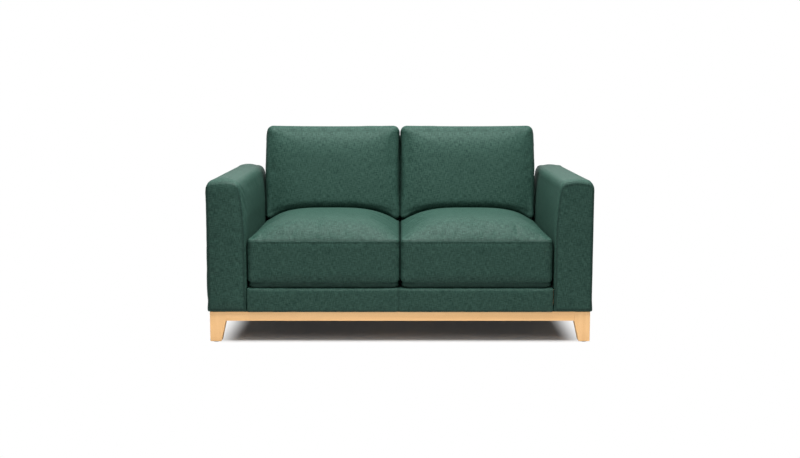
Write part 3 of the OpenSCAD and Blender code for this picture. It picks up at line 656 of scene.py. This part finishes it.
def back_cushion(side):
    w, d = BACK_SIZE
    h = BACK_EDGE_RISE
    zip_low, zip_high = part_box(f"back_zip_{side}")
    zip_half = (zip_high[0] - zip_low[0]) / 2
    xs = lines(w, CUSHION_PITCH, single=fold_lines(w / 2, zip_half))
    ys = lines(d, CUSHION_PITCH, BACK_FOOT_LINES)
    seam_z = BACK_REAR_EDGE + 0.004
    zs = lines(h, CUSHION_PITCH, arc_lines(BACK_REAR_EDGE)[:-1], arc_lines(BACK_FRONT_EDGE, 5), [seam_z],
               fold_lines(BACK_ZIP_Z, FOLD_WIDTH))
    cushion, grid, (x, y, z) = quad_block(f"back_cushion_{side}_cover", xs, ys, zs)
    front = grid[:, 2] == len(zs) - 1
    fold = in_fold(x, z, (w / 2, BACK_ZIP_Z), zip_half) * (y < 1e-6)
    front_edge = BACK_FRONT_EDGE + (BACK_FOOT_EDGE - BACK_FRONT_EDGE) * near(y, 0, BACK_FOOT_REACH)
    inset = edge_inset(z, h, BACK_REAR_EDGE, front_edge) * 0.96
    inset = inset + BACK_SEAM_DENT * near(z, seam_z, SEAM_LINE * 0.7)
    x, y = rounded(x, y, w, d, ((BACK_FOOT, BACK_CORNER),) * 2, inset)
    dome = crown(x, y, w, d, BACK_FRONT_EDGE, BACK_CROWN_POWER, BACK_FOOT_POWER, BACK_FOOT_INSET)
    z = np.where(front, h + (BACK_RISE - h) * dome, z)
    sides = (BACK_PULL, -BACK_BULGE) if side == "right" else (-BACK_BULGE, BACK_PULL)
    x, y = pulled_in(x, y, w, d, (*sides, 0, BACK_PULL))
    y = y + fold * (FOLD_DEPTH - y)
    write_places(cushion, np.stack([x - w / 2, y, z], 1))
    at = grid[:, 2]
    seam_row = at == int(np.argmin(abs(zs - seam_z)))
    foot_row = ys[grid[:, 1]] < BACK_FOOT_HELD
    swell(cushion, seam_row | foot_row | (at == 0) | (fold > 0), cap=0.003)
    keep_within(cushion, np.sort([SIDES[side] * (w / 2 + BACK_BULGE), -SIDES[side] * w / 2]), (0, d))
    flat = read_places(cushion)
    low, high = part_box(f"back_cushion_{side}")
    rise = (flat[:, 1] * math.cos(LEAN) + flat[:, 2] * math.sin(LEAN)).max()
    middle = (low[0] + high[0] - SIDES[side] * BACK_BULGE) / 2
    pick(cushion)
    cushion.rotation_euler = (math.pi / 2 - LEAN, 0, 0)
    back_places[side] = (middle, high[1] - d * math.sin(LEAN), high[2] - rise)
    cushion.location = back_places[side]
    bpy.ops.object.transform_apply()
    settle_on_seat(cushion, side, flat, fold)
    # Painted shade along the rear seam
    painted_shade = 0.5 * near(flat[:, 2], seam_z, 0.003)
    finish_cloth(cushion, f"back_cushion_{side}", f"back_cushion_{side}", painted_shade=painted_shade)


for side in SIDES:
    back_cushion(side)


# %% [markdown]
# An arm is a timber box in wadding, under one tight cover. Its front is a panel of its own, sewn in round
# the rounded front edge. The outer side stands upright. The inner face leans outwards above the seat, and
# the top is slightly crowned between two round corners. It is drawn as the outline seen from the front,
# and run from front to back. Known fault: this swaps two axes of the block, which turns its faces over, and
# only the left arm's mirror turns them back. The right arm's faces point inwards, so it swells inwards.

# %% Arms
ARM_SLANT, ARM_SLANT_POWER = 0.018, 2.2
ARM_CROWN = 0.004
ARM_OUTER_R, ARM_INNER_R, ARM_FOOT_R, ARM_EDGE_R = 0.038, 0.042, 0.008, 0.013
ARM_NOSE_DROP, ARM_NOSE_DEPTH = 0.010, 0.05
ARM_SOFT_TOP, ARM_SOFT_SHARE = 0.03, 0.7  # over this height the front seam fades into the top, by this share
ARM_SEAM_SINK, ARM_PUFF, ARM_SEAM_REACH, ARM_PUFF_REACH = 0.0022, 0.0016, 0.003, 0.03
ARM_EDGE_SHARE, ARM_EDGE_ANGLES = 0.86, (24, 42, 64, 90)
ARM_BULGE = 0.002
ARM_EDGE_LINES, ARM_FOOT_LINES = (0, SEAM_LINE, 0.008, 0.016), (0, 0.004, 0.012)
ARM_PITCH = 0.0105
SEAT_TOP_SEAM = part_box("seat_cushion_left")[0][2] + SEAT_SEAM_RISE
SLANT_START = SEAT_TOP_SEAM + 0.004
HEM_LIFT, HEM_WIDTH, HEM_STEP = 0.0035, 0.012, 0.006
FLAT = 1e-6  # what is nearer to a panel or a seam than this lies on it


def hem(height, inside):
    """The underside is lifted inside a narrow hem, where the dust cover is stapled over it."""
    return np.where(height < FLAT, HEM_LIFT * np.clip(inside / HEM_STEP, 0, 1), 0)


def arm(side):
    low, high, (w, length, h) = sized_box(f"arm_cover_{side}")
    h = h - ARM_CROWN
    edge = ARM_EDGE_LINES
    xs, zs = lines(w, ARM_PITCH, edge, edge), lines(h, ARM_PITCH, ARM_FOOT_LINES, edge)
    ends = (0, *(ARM_EDGE_R * (1 - math.cos(math.radians(a))) for a in ARM_EDGE_ANGLES))
    ys = lines(length, ARM_PITCH, ends, ends)
    piece, grid, (x, z, y) = quad_block(f"arm_{side}_cover", xs, zs, ys)
    front, rear = grid[:, 2] == 0, grid[:, 2] == len(ys) - 1
    from_seam = np.minimum.reduce([x, w - x, z, h - z])
    depth_in = np.minimum(y, length - y)
    inset = edge_inset(y, length, ARM_EDGE_R, ARM_EDGE_R) * ARM_EDGE_SHARE
    radii = ((0.003, ARM_INNER_R), (ARM_FOOT_R, ARM_OUTER_R))
    flat_x, flat_z = x, z
    x, z = rounded(x, z, w, h, radii, inset)
    lift = hem(flat_z, np.minimum.reduce([flat_x, w - flat_x, depth_in]) - HEM_WIDTH)
    climb = np.clip((z + low[2] - SLANT_START) / (high[2] - ARM_CROWN - ARM_INNER_R - SLANT_START), 0, 1)
    x = x + ARM_SLANT * climb**ARM_SLANT_POWER * (1 - x / w)
    across = np.clip((x - ARM_SLANT - ARM_INNER_R) / (w - ARM_SLANT - ARM_INNER_R - ARM_OUTER_R), 0, 1)
    nose = ARM_NOSE_DROP * np.clip(1 - y / ARM_NOSE_DEPTH, 0, 1) ** 2
    z = z + (ARM_CROWN * 4 * across * (1 - across) - nose) * np.clip(z / h, 0, 1) ** 10 + lift
    drawn = 1 - ARM_SOFT_SHARE * np.clip((flat_z - h) / ARM_SOFT_TOP + 1, 0, 1)
    sunk = ARM_SEAM_SINK * drawn * np.exp(-from_seam / ARM_SEAM_REACH)
    sunk = sunk - ARM_PUFF * np.clip(from_seam / ARM_PUFF_REACH, 0, 1)
    y = np.where(front, sunk, np.where(rear, length - sunk, y))
    places = np.stack([x + low[0] if side == "right" else high[0] - x, y + low[1], z + low[2]], 1)
    write_places(piece, places)
    held = (front | rear) & (from_seam < FLAT) | (flat_z < FLAT)
    swell(piece, held, cap=0.003, pressure=1.2, slack=0.004)
    limits = {"left": (low[0] - ARM_BULGE, high[0]), "right": (low[0], high[0] + ARM_BULGE)}
    keep_within(piece, limits[side])
    # Painted shade along the front and rear seams and edges, weaker where the front seam runs into the top
    seam = np.where(front | rear, near(from_seam, 0, 0.0035), near(depth_in, 0, 0.002)) * drawn
    finish_cloth(piece, "frame", f"arm_cover_{side}", painted_shade=0.55 * seam)


for side in SIDES:
    arm(side)


# %% [markdown]
# The front rail closes the seat base between the arms, flush with their fronts. It is one length of cloth
# over wadding, joined by a plain seam near the middle.

# %% Front rail
RAIL_TOP_R, RAIL_END_R = 0.009, 0.004
RAIL_SEAM_X = -0.009
RAIL_PITCH = 0.010
RAIL_SEAM_DENT = 0.0014


def front_rail():
    low, _, (length, depth, h) = sized_box("front_rail_cover")
    ys = lines(depth, RAIL_PITCH, (0, 0.003, 0.009))
    zs = lines(h, RAIL_PITCH, (0, 0.003), arc_lines(RAIL_TOP_R))
    seam = RAIL_SEAM_X - low[0]
    xs = lines(length, RAIL_PITCH, arc_lines(RAIL_END_R, 3), arc_lines(RAIL_END_R, 3), [seam])
    piece, grid, (y, z, x) = quad_block("front_rail_padding", ys, zs, xs)
    flat_y, flat_z = y, z
    dent = near(x, seam, SEAM_LINE * 0.6)
    inset = edge_inset(x, length, RAIL_END_R, RAIL_END_R) + RAIL_SEAM_DENT * dent
    y, z = rounded(y, z, depth, h, ((0.003, RAIL_TOP_R), (0.002, 0.002)), inset)
    lift = hem(flat_z, flat_y - HEM_WIDTH)
    write_places(piece, np.stack([x + low[0], y + low[1], z + low[2] + lift], 1))
    held = (flat_z < FLAT) | (flat_y > depth - FLAT) | (grid[:, 2] == int(np.argmin(abs(xs - seam))))
    swell(piece, held, cap=0.002, pressure=1.0, slack=0.004)
    # Painted shade along the seam and along the bottom edge
    painted_shade = 0.35 * dent + 0.5 * near(flat_z, 0, 0.004)
    finish_cloth(piece, "frame", "front_rail_cover", painted_shade=painted_shade)


front_rail()


# %% [markdown]
# The back stands between the arms behind the loose cushions. Its front leans with them and its rear is
# upright, so it is thin at the top and thick at the seat. A seam runs across the outside, a little below
# the top, where the back panel meets the band that comes over from the front.

# %% Back
BACK_TOP_T = 0.042
BACK_TOP_R, BACK_END_R = 0.015, 0.012
BACK_BAND_DROP = 0.030
BACK_PITCH = 0.0115
BACK_BAND_DENT = 0.0016
BACK_SIDE_LINES = (0, 0.004, 0.010)


def back():
    low, high, (length, _, h) = sized_box("back_cover")
    deck_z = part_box("seat_deck")[1][2]
    post_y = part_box("back_posts")[0][1]
    seam_z = h - BACK_BAND_DROP
    top_t = BACK_TOP_T
    zs = lines(h, BACK_PITCH, (0, 0.003), arc_lines(BACK_TOP_R), [seam_z])
    ys = lines(top_t, BACK_PITCH, BACK_SIDE_LINES, BACK_SIDE_LINES)
    xs = lines(length, BACK_PITCH, arc_lines(BACK_END_R), arc_lines(BACK_END_R))
    piece, grid, (y, z, x) = quad_block("back_padding", ys, zs, xs)
    flat_y, flat_z = y, z
    inset = edge_inset(x, length, BACK_END_R, BACK_END_R)
    y, z = rounded(y, z, top_t, h, ((0.003, BACK_TOP_R), (0.002, BACK_TOP_R)), inset)
    world_z = z + low[2]
    front_y = high[1] - top_t - (high[2] - world_z) * math.tan(LEAN)
    front_y = np.where(world_z < deck_z + 0.004, post_y + 0.001, front_y)
    y = front_y + y / top_t * (high[1] - front_y)
    pinch = BACK_BAND_DENT * near(z, seam_z, SEAM_LINE * 0.6) * (flat_y > top_t - FLAT)
    lift = hem(flat_z, top_t - flat_y - HEM_STEP)
    write_places(piece, np.stack([x + low[0], y - pinch, world_z + lift], 1))
    held = (flat_z < FLAT) | (world_z < deck_z + 0.02) | (pinch > 0.001)
    swell(piece, held, cap=0.002, pressure=1.0, slack=0.004)
    # Painted shade in the seam below the top band
    finish_cloth(piece, "frame", "back_cover", painted_shade=pinch * 400)


back()


# %% [markdown]
# The plinth is solid beech: four tapered legs with rails tenoned between them. Beech is pale, with a fine
# straight grain and short dark flecks. The grain runs along each member, so each direction gets a material
# of its own, which differs only in how its noise is stretched.

# %% Beech
PALE_BEECH, DEEP_BEECH, BEECH_FLECK = (0.90, 0.555, 0.257), (0.81, 0.47, 0.198), (0.60, 0.32, 0.123)
AXES = {"x": 0, "y": 1, "z": 2}


def grained(name, along, pale, deep, fleck, roughness=0.5):
    """Straight-grained wood, with its fibres along one axis."""
    wood = Recipe(name)
    place = wood.here()

    def fibres(length, width, detail, rough):
        scale = [1 / width] * 3
        scale[AXES[along]] = 1 / length
        return wood.noise(wood.stretched(place, tuple(scale)), 1.0, detail, rough)

    rings = fibres(0.9, 0.022, 3.0, 0.55)
    lines_in = fibres(0.16, 0.0022, 2.0, 0.6)
    flecks = wood.between(fibres(0.004, 0.0009, 0.0, 0.5), 0.63, 0.72)
    tone = wood.between(wood.math("MULTIPLY_ADD", lines_in, 0.35, rings), 0.45, 0.9)
    colour = wood.mix(wood.math("MULTIPLY", flecks, 0.45), wood.mix(tone, pale, deep), fleck)
    wood.bump(wood.math("MULTIPLY_ADD", flecks, -0.6, lines_in), 0.12, 0.0003)
    return wood.set(Base_Color=colour, Roughness=roughness, Specular_IOR_Level=0.4)


beech = {axis: grained(f"beech_along_{axis}", axis, PALE_BEECH, DEEP_BEECH, BEECH_FLECK) for axis in AXES}
print("beech:", [m.name for m in beech.values()])


# %% [markdown]
# Sawn edges are always eased, and an eased edge catches a thin line of light that tells the eye how big
# the piece is. Each visible member is therefore a copy of its CAD solid. Its loose triangles are merged,
# its flat faces are joined again, and its edges get a small round bevel. Weighted normals keep the big faces
# flat to the eye.

# %% Eased timber
EASED_EDGE = 0.0015
TIMBER = {
    "z": [f"leg_{end}_{side}" for end in ("front", "rear") for side in SIDES],
    "x": ["plinth_front_rail", "plinth_rear_rail"],
    "y": ["plinth_side_rail_left", "plinth_side_rail_right", "plinth_centre_rail"],
}


def eased_timber(node, material):
    """A copy of a CAD member with round edges, which then stands for it."""
    piece = bpy.data.objects.new(f"{node}_timber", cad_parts[node].data.copy())
    piece.data.name = piece.name
    scene.collection.objects.link(piece)
    pick(piece)
    bpy.ops.mesh.customdata_custom_splitnormals_clear()
    mode("EDIT")
    bpy.ops.mesh.select_all(action="SELECT")
    bpy.ops.mesh.remove_doubles(threshold=1e-5)
    bpy.ops.mesh.dissolve_limited(angle_limit=math.radians(1))
    mode("OBJECT")
    modify(piece, "BEVEL", width=EASED_EDGE, segments=2, limit_method="ANGLE", angle_limit=math.radians(25))
    bpy.ops.object.shade_smooth_by_angle(angle=math.radians(50))
    modify(piece, "WEIGHTED_NORMAL", keep_sharp=True)
    dress(piece, material)
    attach(piece, "frame")
    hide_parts(node)
    return piece


timber = [eased_timber(node, beech[axis]) for axis, nodes in TIMBER.items() for node in nodes]
print("eased:", len(timber), "members,", sum(len(t.data.polygons) for t in timber), "faces")


# %% [markdown]
# Under the seat cushions lies the platform: black lining cloth over wadding, on elastic straps. It sinks a
# little between the straps. It is a thin padded piece, so it is the same kind of quad block as the cushions.

# %% Platform
STRAPS_ACROSS, STRAPS_ALONG = 10, 6
PLATFORM_DIP = 0.0016
PLATFORM_PITCH, PLATFORM_CORNER = 0.017, 0.01
LINING_YARN, DARK_LINING, PALE_LINING = 0.0007, (0.008, 0.008, 0.009), (0.02, 0.02, 0.022)
lining = woven_cloth("black_lining", DARK_LINING, PALE_LINING, LINING_YARN)


def platform():
    low, _, (w, d, t) = sized_box("seat_deck")
    edge = (0, 0.002, 0.006)
    xs, ys, zs = lines(w, PLATFORM_PITCH, edge, edge), lines(d, PLATFORM_PITCH, edge, edge), lines(t, t / 2)
    piece, _, (x, y, z) = quad_block("platform", xs, ys, zs)
    inset = edge_inset(z, t, t / 3, t / 3)
    strap = abs(np.sin(np.pi * STRAPS_ACROSS * x / w)) * abs(np.sin(np.pi * STRAPS_ALONG * y / d))
    x, y = rounded(x, y, w, d, ((PLATFORM_CORNER,) * 2,) * 2, inset)
    z = z - PLATFORM_DIP * (1 - strap) * (z / t)
    write_places(piece, np.stack([x + low[0], y + low[1], z + low[2]], 1))
    finish_cloth(piece, "frame", "seat_deck", levels=0, material=lining)


platform()


# %% [markdown]
# A dust cover closes the body from below, so that nothing falls out of it and nobody looks into it. It is a
# thin black sheet of bonded fibres, stapled along its edges and over the plinth, and it hangs slack by a few
# millimetres between them. A grid that is moved down in the middle and given a thickness is enough.

# %% Dust cover
COVER_SAG, COVER_THICKNESS = 0.0025, 0.0006
PLINTH_INSIDE = (0.66, 0.37)
CENTRE_RAIL_HALF = 0.03
DARK_FIBRE, PALE_FIBRE = (0.010, 0.010, 0.011), (0.022, 0.022, 0.024)


def bonded_fibres():
    felted = Recipe("bonded_fibres")
    place = felted.here()
    dots = felted.node("TexVoronoi", {"Vector": place, "Scale": 420.0}, distance="CHEBYCHEV")
    dots = felted.between(dots.outputs["Distance"], 0.0, 0.35)
    fibres = felted.noise(place, 900.0, 4.0, 0.7)
    felted.bump(felted.math("MULTIPLY_ADD", dots, 0.8, fibres), 0.4, 0.0003)
    return felted.tinted(fibres, DARK_FIBRE, PALE_FIBRE, 0.8, Specular_IOR_Level=0.3)


def dust_cover():
    low, high, (w, d, _) = sized_box("dust_cover")
    deselect()
    bpy.ops.mesh.primitive_grid_add(x_subdivisions=96, y_subdivisions=54, size=1)
    piece = bpy.context.object
    piece.name = piece.data.name = "dust_cover_sheet"
    flat = read_places(piece)
    x, y = flat[:, 0] * w, flat[:, 1] * d + (low[1] + high[1]) / 2
    half_x, half_y = PLINTH_INSIDE
    along = np.clip((abs(x) - CENTRE_RAIL_HALF) / (half_x - CENTRE_RAIL_HALF), 0, 1)
    sag = COVER_SAG * np.sin(np.pi * along) * np.sin(np.pi * np.clip(0.5 + y / (2 * half_y), 0, 1))
    write_places(piece, np.stack([x, y, low[2] + COVER_THICKNESS / 2 - sag], 1))
    modify(piece, "SOLIDIFY", thickness=COVER_THICKNESS, offset=1)
    bpy.ops.object.shade_smooth_by_angle(angle=math.radians(40))
    piece.data.materials.append(bonded_fibres())
    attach(piece, "frame")
    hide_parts("dust_cover")
    print("dust cover", round(w, 3), "by", round(d, 3), "m")


dust_cover()


# %% [markdown]
# The parts inside are carried over from the CAD as they are, and only get their finishes: sawn frame timber,
# brown hardboard, striped elastic straps, foam, felt under the legs, zinc-plated bolts and black zip tape.

# %% Inner finishes
PALE_PINE, DEEP_PINE, PINE_KNOT = (0.62, 0.45, 0.25), (0.48, 0.30, 0.14), (0.28, 0.15, 0.07)
SAWN = 0.75
pine = {axis: grained(f"frame_timber_along_{axis}", axis, PALE_PINE, DEEP_PINE, PINE_KNOT, SAWN)
        for axis in AXES}


def wave(recipe, scale):
    """Slanting ribs, as on tape and straps."""
    place = {"Vector": recipe.here(), "Scale": scale}
    return recipe.node("TexWave", place, bands_direction="DIAGONAL").outputs["Fac"]


def hardboard():
    board = Recipe("hardboard")
    chips, dust = board.noise(board.here(), 260.0, 4.0, 0.7), board.noise(board.here(), 1400.0, 2.0)
    board.bump(board.math("ADD", chips, dust), 0.2, 0.0003)
    return board.tinted(chips, (0.19, 0.10, 0.05), (0.30, 0.17, 0.085), 0.7)


def elastic_strap():
    strap = Recipe("elastic_strap")
    ribs, wear = wave(strap, 105.0), strap.noise(strap.here(), 60.0, 3.0)
    strap.bump(ribs, 0.5, 0.0005)
    worn = strap.math("MULTIPLY", ribs, wear)
    return strap.tinted(worn, (0.022, 0.022, 0.020), (0.085, 0.080, 0.065), 0.85)


def foam():
    cells = Recipe("foam")
    pores = cells.node("TexVoronoi", {"Vector": cells.here(), "Scale": 900.0}).outputs["Distance"]
    cells.bump(pores, 0.6, 0.0005)
    broad = cells.noise(cells.here(), 14.0, 2.0)
    return cells.tinted(broad, (0.72, 0.67, 0.46), (0.80, 0.76, 0.58), 0.95)


def felt():
    pad = Recipe("felt")
    fibres = pad.noise(pad.here(), 1600.0, 5.0, 0.75)
    pad.bump(fibres, 0.6, 0.0004)
    return pad.tinted(fibres, (0.045, 0.04, 0.035), (0.12, 0.105, 0.09), 1.0)


def zinc():
    plated = Recipe("zinc_steel")
    spangle = plated.noise(plated.here(), 340.0, 3.0, 0.6)
    plated.bump(spangle, 0.08, 0.0002)
    worn = plated.between(spangle, 0.2, 0.8, 0.28, 0.45)
    return plated.tinted(spangle, (0.52, 0.52, 0.50), (0.68, 0.68, 0.66), worn, Metallic=1.0)


def tape():
    woven = Recipe("zip_tape")
    woven.bump(wave(woven, 320.0), 0.4, 0.0002)
    fuzz = woven.noise(woven.here(), 1200.0, 2.0)
    return woven.tinted(fuzz, (0.016, 0.034, 0.027), (0.035, 0.062, 0.050), 0.85)


steel = zinc()
FINISHES = {
    pine["x"]: ["seat_front_rail", "seat_rear_rail", "back_top_rail", "back_bottom_rail",
                "plinth_corner_blocks"],
    pine["y"]: ["seat_side_rail_left", "seat_side_rail_right", "seat_centre_rail", "arm_rails_left",
                "arm_rails_right"],
    pine["z"]: ["arm_posts_left", "arm_posts_right", "back_posts"],
    hardboard(): [f"arm_{place}_panel_{side}" for place in ("outer", "inner") for side in SIDES],
    elastic_strap(): ["seat_webbing", "back_webbing"],
    foam(): [f"{part}_foam_{side}" for part in ("seat", "back") for side in SIDES],
    felt(): ["leg_glides"],
    steel: ["plinth_bolts", "arm_bolts"],
    tape(): [f"{part}_zip_{side}" for part in ("seat", "back") for side in SIDES],
}
for finish, names in FINISHES.items():
    for name in names:
        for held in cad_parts[name].material_slots:
            held.material = finish
print("finished", sum(len(names) for names in FINISHES.values()), "inner parts")


# %% [markdown]
# A row of top stitching runs right round each seat cushion, just under its top seam. From a few steps away it
# is a fine line, and close up single stitches show. One stitch is modelled, a short thread that dips into
# the cloth at both ends. Its copies are set on the cushion where a ray from outside meets the cover, so that
# they follow every pucker, and are joined into one row. Known fault: a new cylinder is selected all over, so
# the first extrude copies it whole, and each stitch holds a second shell that is inside out.

# %% Top stitching
STITCH_LENGTH, STITCH_PITCH, STITCH_RADIUS = 0.0031, 0.0044, 0.00042
STITCH_MIDDLE, STITCH_END, STITCH_DIP, STITCH_TIP = 0.6, 0.2, 0.9, 0.6
RAY_START = 0.03


def one_stitch():
    deselect()
    bpy.ops.mesh.primitive_cylinder_add(vertices=6, radius=STITCH_RADIUS, depth=STITCH_LENGTH * STITCH_MIDDLE,
                                        rotation=(0, math.pi / 2, 0), end_fill_type="NGON")
    stitch = bpy.context.object
    bpy.ops.object.transform_apply()
    for end in (-1, 1):
        for face in stitch.data.polygons:
            face.select = face.normal.x * end > 0.9
        mode("EDIT")
        bpy.ops.mesh.select_mode(type="FACE")
        bpy.ops.mesh.extrude_region_move(TRANSFORM_OT_translate={
            "value": (end * STITCH_LENGTH * STITCH_END, -STITCH_RADIUS * STITCH_DIP, 0)})
        bpy.ops.transform.resize(value=(1, STITCH_TIP, STITCH_TIP))
        bpy.ops.mesh.select_all(action="DESELECT")
        mode("OBJECT")
    return stitch


def round_the_outline(w, d, r, pitch):
    """Places round a rounded rectangle at an even pitch, each with the direction that it faces."""
    half_x, half_y, quarter = w / 2 - r, d / 2 - r, math.pi / 2 * r
    straights = ((2 * half_x, (0, -1)), (2 * half_y, (1, 0)), (2 * half_x, (0, 1)), (2 * half_y, (-1, 0)))
    corners = ((half_x, -half_y), (half_x, half_y), (-half_x, half_y), (-half_x, -half_y))
    total = 4 * (half_x + half_y + quarter)
    count = int(total / pitch)
    for number in range(count):
        s = number * total / count
        for (length, facing), corner in zip(straights, corners):
            turn = math.atan2(facing[1], facing[0])
            if s < length:
                back = s - length
                yield (corner[0] + r * facing[0] - facing[1] * back,
                       corner[1] + r * facing[1] + facing[0] * back, turn)
                break
            s -= length
            if s < quarter:
                turn += s / r
                yield corner[0] + r * math.cos(turn), corner[1] + r * math.sin(turn), turn
                break
            s -= quarter


def stitch_row(side, stitch):
    skin = skin_of(seat_cushions[side])
    low, high, (w, d, _) = sized_box(f"seat_cushion_{side}")
    middle = Vector(((low[0] + high[0]) / 2, (low[1] + high[1]) / 2, low[2] + SEAT_SEAM_RISE - STITCH_DROP))
    copies = []
    for x, y, turn in round_the_outline(w, d, SEAT_CORNER, STITCH_PITCH):
        out = Vector((math.cos(turn), math.sin(turn), 0))
        hit, _, _, _ = skin.ray_cast(middle + Vector((x, y, 0)) + out * RAY_START, -out)
        if hit is None:
            continue
        copy = bpy.data.objects.new("stitch", stitch.data.copy())
        copy.matrix_world = Matrix.Translation(hit) @ Matrix.Rotation(turn - math.pi / 2, 4, "Z")
        scene.collection.objects.link(copy)
        copies.append(copy)
    deselect()
    for copy in copies:
        copy.select_set(True)
    bpy.context.view_layer.objects.active = copies[0]
    bpy.ops.object.join()
    row = bpy.context.object
    row.name = row.data.name = f"seat_cushion_{side}_stitching"
    bpy.ops.object.transform_apply()
    bpy.ops.object.shade_smooth()
    dress(row, thread)
    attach(row, f"seat_cushion_{side}")
    print(row.name, len(copies), "stitches")


pattern = one_stitch()
for side in SIDES:
    stitch_row(side, pattern)
bpy.data.objects.remove(pattern)


# %% [markdown]
# The covers come off for cleaning, so each cushion has a zip in a fold: behind the seat cushion, and under
# the back cushion. The tape is the CAD's. The teeth are one small bevelled block, repeated by an array along
# the tape. The slider is a box with round shoulders, and its pull tab is a thin plate with a slot through it.

# %% Zip teeth
TOOTH_PITCH = 0.0032
TOOTH_SIZE = (0.0017, 0.0012, 0.0052)
SLIDER_SIZE, TAB_SIZE = (0.012, 0.004, 0.009), (0.022, 0.0015, 0.006)
TAPE_FACE, SLIDER_DEPTH = -0.0086, -0.0082
TOOTH_EDGE, SLIDER_EDGE, TAB_EDGE, TAB_RIM = 0.0003, 0.0011, 0.0003, 0.0017
TAPE_END, SLIDER_OVERLAP = 0.01, 0.0004


def zip_frame(part, side):
    """Where the middle of a zip's opening is, and its turn: x runs along the zip and y faces outwards."""
    if part == "seat":
        low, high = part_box(f"seat_zip_{side}")
        _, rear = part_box(f"seat_cushion_{side}")
        return ((low[0] + high[0]) / 2, rear[1], (low[2] + high[2]) / 2), (0, 0, 0)
    x, y, z = back_places[side]
    lift = math.pi / 2 - LEAN
    return (x, y - BACK_ZIP_Z * math.sin(lift), z + BACK_ZIP_Z * math.cos(lift)), (lift + math.pi, 0, 0)


def settle(piece, part, side, body, finish):
    """Puts a piece made round the origin on its zip, and lets it ride."""
    piece.location, piece.rotation_euler = zip_frame(part, side)
    pick(piece)
    bpy.ops.object.transform_apply()
    dress(piece, finish)
    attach(piece, body)


def box_piece(name, size, middle, edge, segments=1):
    """A box with round edges."""
    deselect()
    bpy.ops.mesh.primitive_cube_add(size=1, location=middle)
    piece = bpy.context.object
    piece.name = piece.data.name = name
    piece.scale = size
    bpy.ops.object.transform_apply()
    mode("EDIT")
    bpy.ops.mesh.select_all(action="SELECT")
    bpy.ops.mesh.bevel(offset=edge, segments=segments)
    mode("OBJECT")
    return piece


def zip_teeth(part, side):
    _, _, (length, _, _) = sized_box(f"{part}_zip_{side}")
    count = int((length - TAPE_END) / TOOTH_PITCH)
    teeth = box_piece(f"{part}_zip_{side}_teeth", TOOTH_SIZE,
                      (-count * TOOTH_PITCH / 2, TAPE_FACE + TOOTH_SIZE[1] * 0.3, 0), TOOTH_EDGE)
    modify(teeth, "ARRAY", count=count, use_relative_offset=False, use_constant_offset=True,
           constant_offset_displace=(TOOTH_PITCH, 0, 0))
    settle(teeth, part, side, f"{part}_cushion_{side}", steel)
    return teeth


# %% Zip sliders
def zip_slider(part, side):
    _, _, (length, _, _) = sized_box(f"{part}_zip_{side}")
    middle = -length / 2 - SLIDER_OVERLAP + SLIDER_SIZE[0] + SLIDER_SIZE[0] / 2
    body_place = (middle, SLIDER_DEPTH + SLIDER_SIZE[1] / 2, 0)
    body = box_piece("slider_body", SLIDER_SIZE, body_place, SLIDER_EDGE, 3)
    tab_place = (middle + TAB_SIZE[0] / 2, SLIDER_DEPTH + SLIDER_SIZE[1] + TAB_SIZE[1] / 2, 0)
    tab = box_piece("slider_tab", TAB_SIZE, tab_place, TAB_EDGE, 2)
    for face in tab.data.polygons:
        face.select = abs(face.normal.y) > 0.9
    mode("EDIT")
    bpy.ops.mesh.select_mode(type="FACE")
    bpy.ops.mesh.inset(thickness=TAB_RIM, use_individual=True)
    bpy.ops.mesh.bridge_edge_loops()
    mode("OBJECT")
    pick(body)
    tab.select_set(True)
    bpy.ops.object.join()
    body.name = body.data.name = f"{part}_zip_{side}_slider"
    settle(body, part, side, f"{part}_zip_slider_{side}", steel)
    bpy.ops.object.shade_smooth_by_angle(angle=math.radians(35))
    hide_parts(f"{part}_zip_slider_{side}")
    return body


zips = [make(part, side) for make in (zip_teeth, zip_slider) for part in ("seat", "back") for side in SIDES]
print("zip pieces:", [z.name for z in zips])
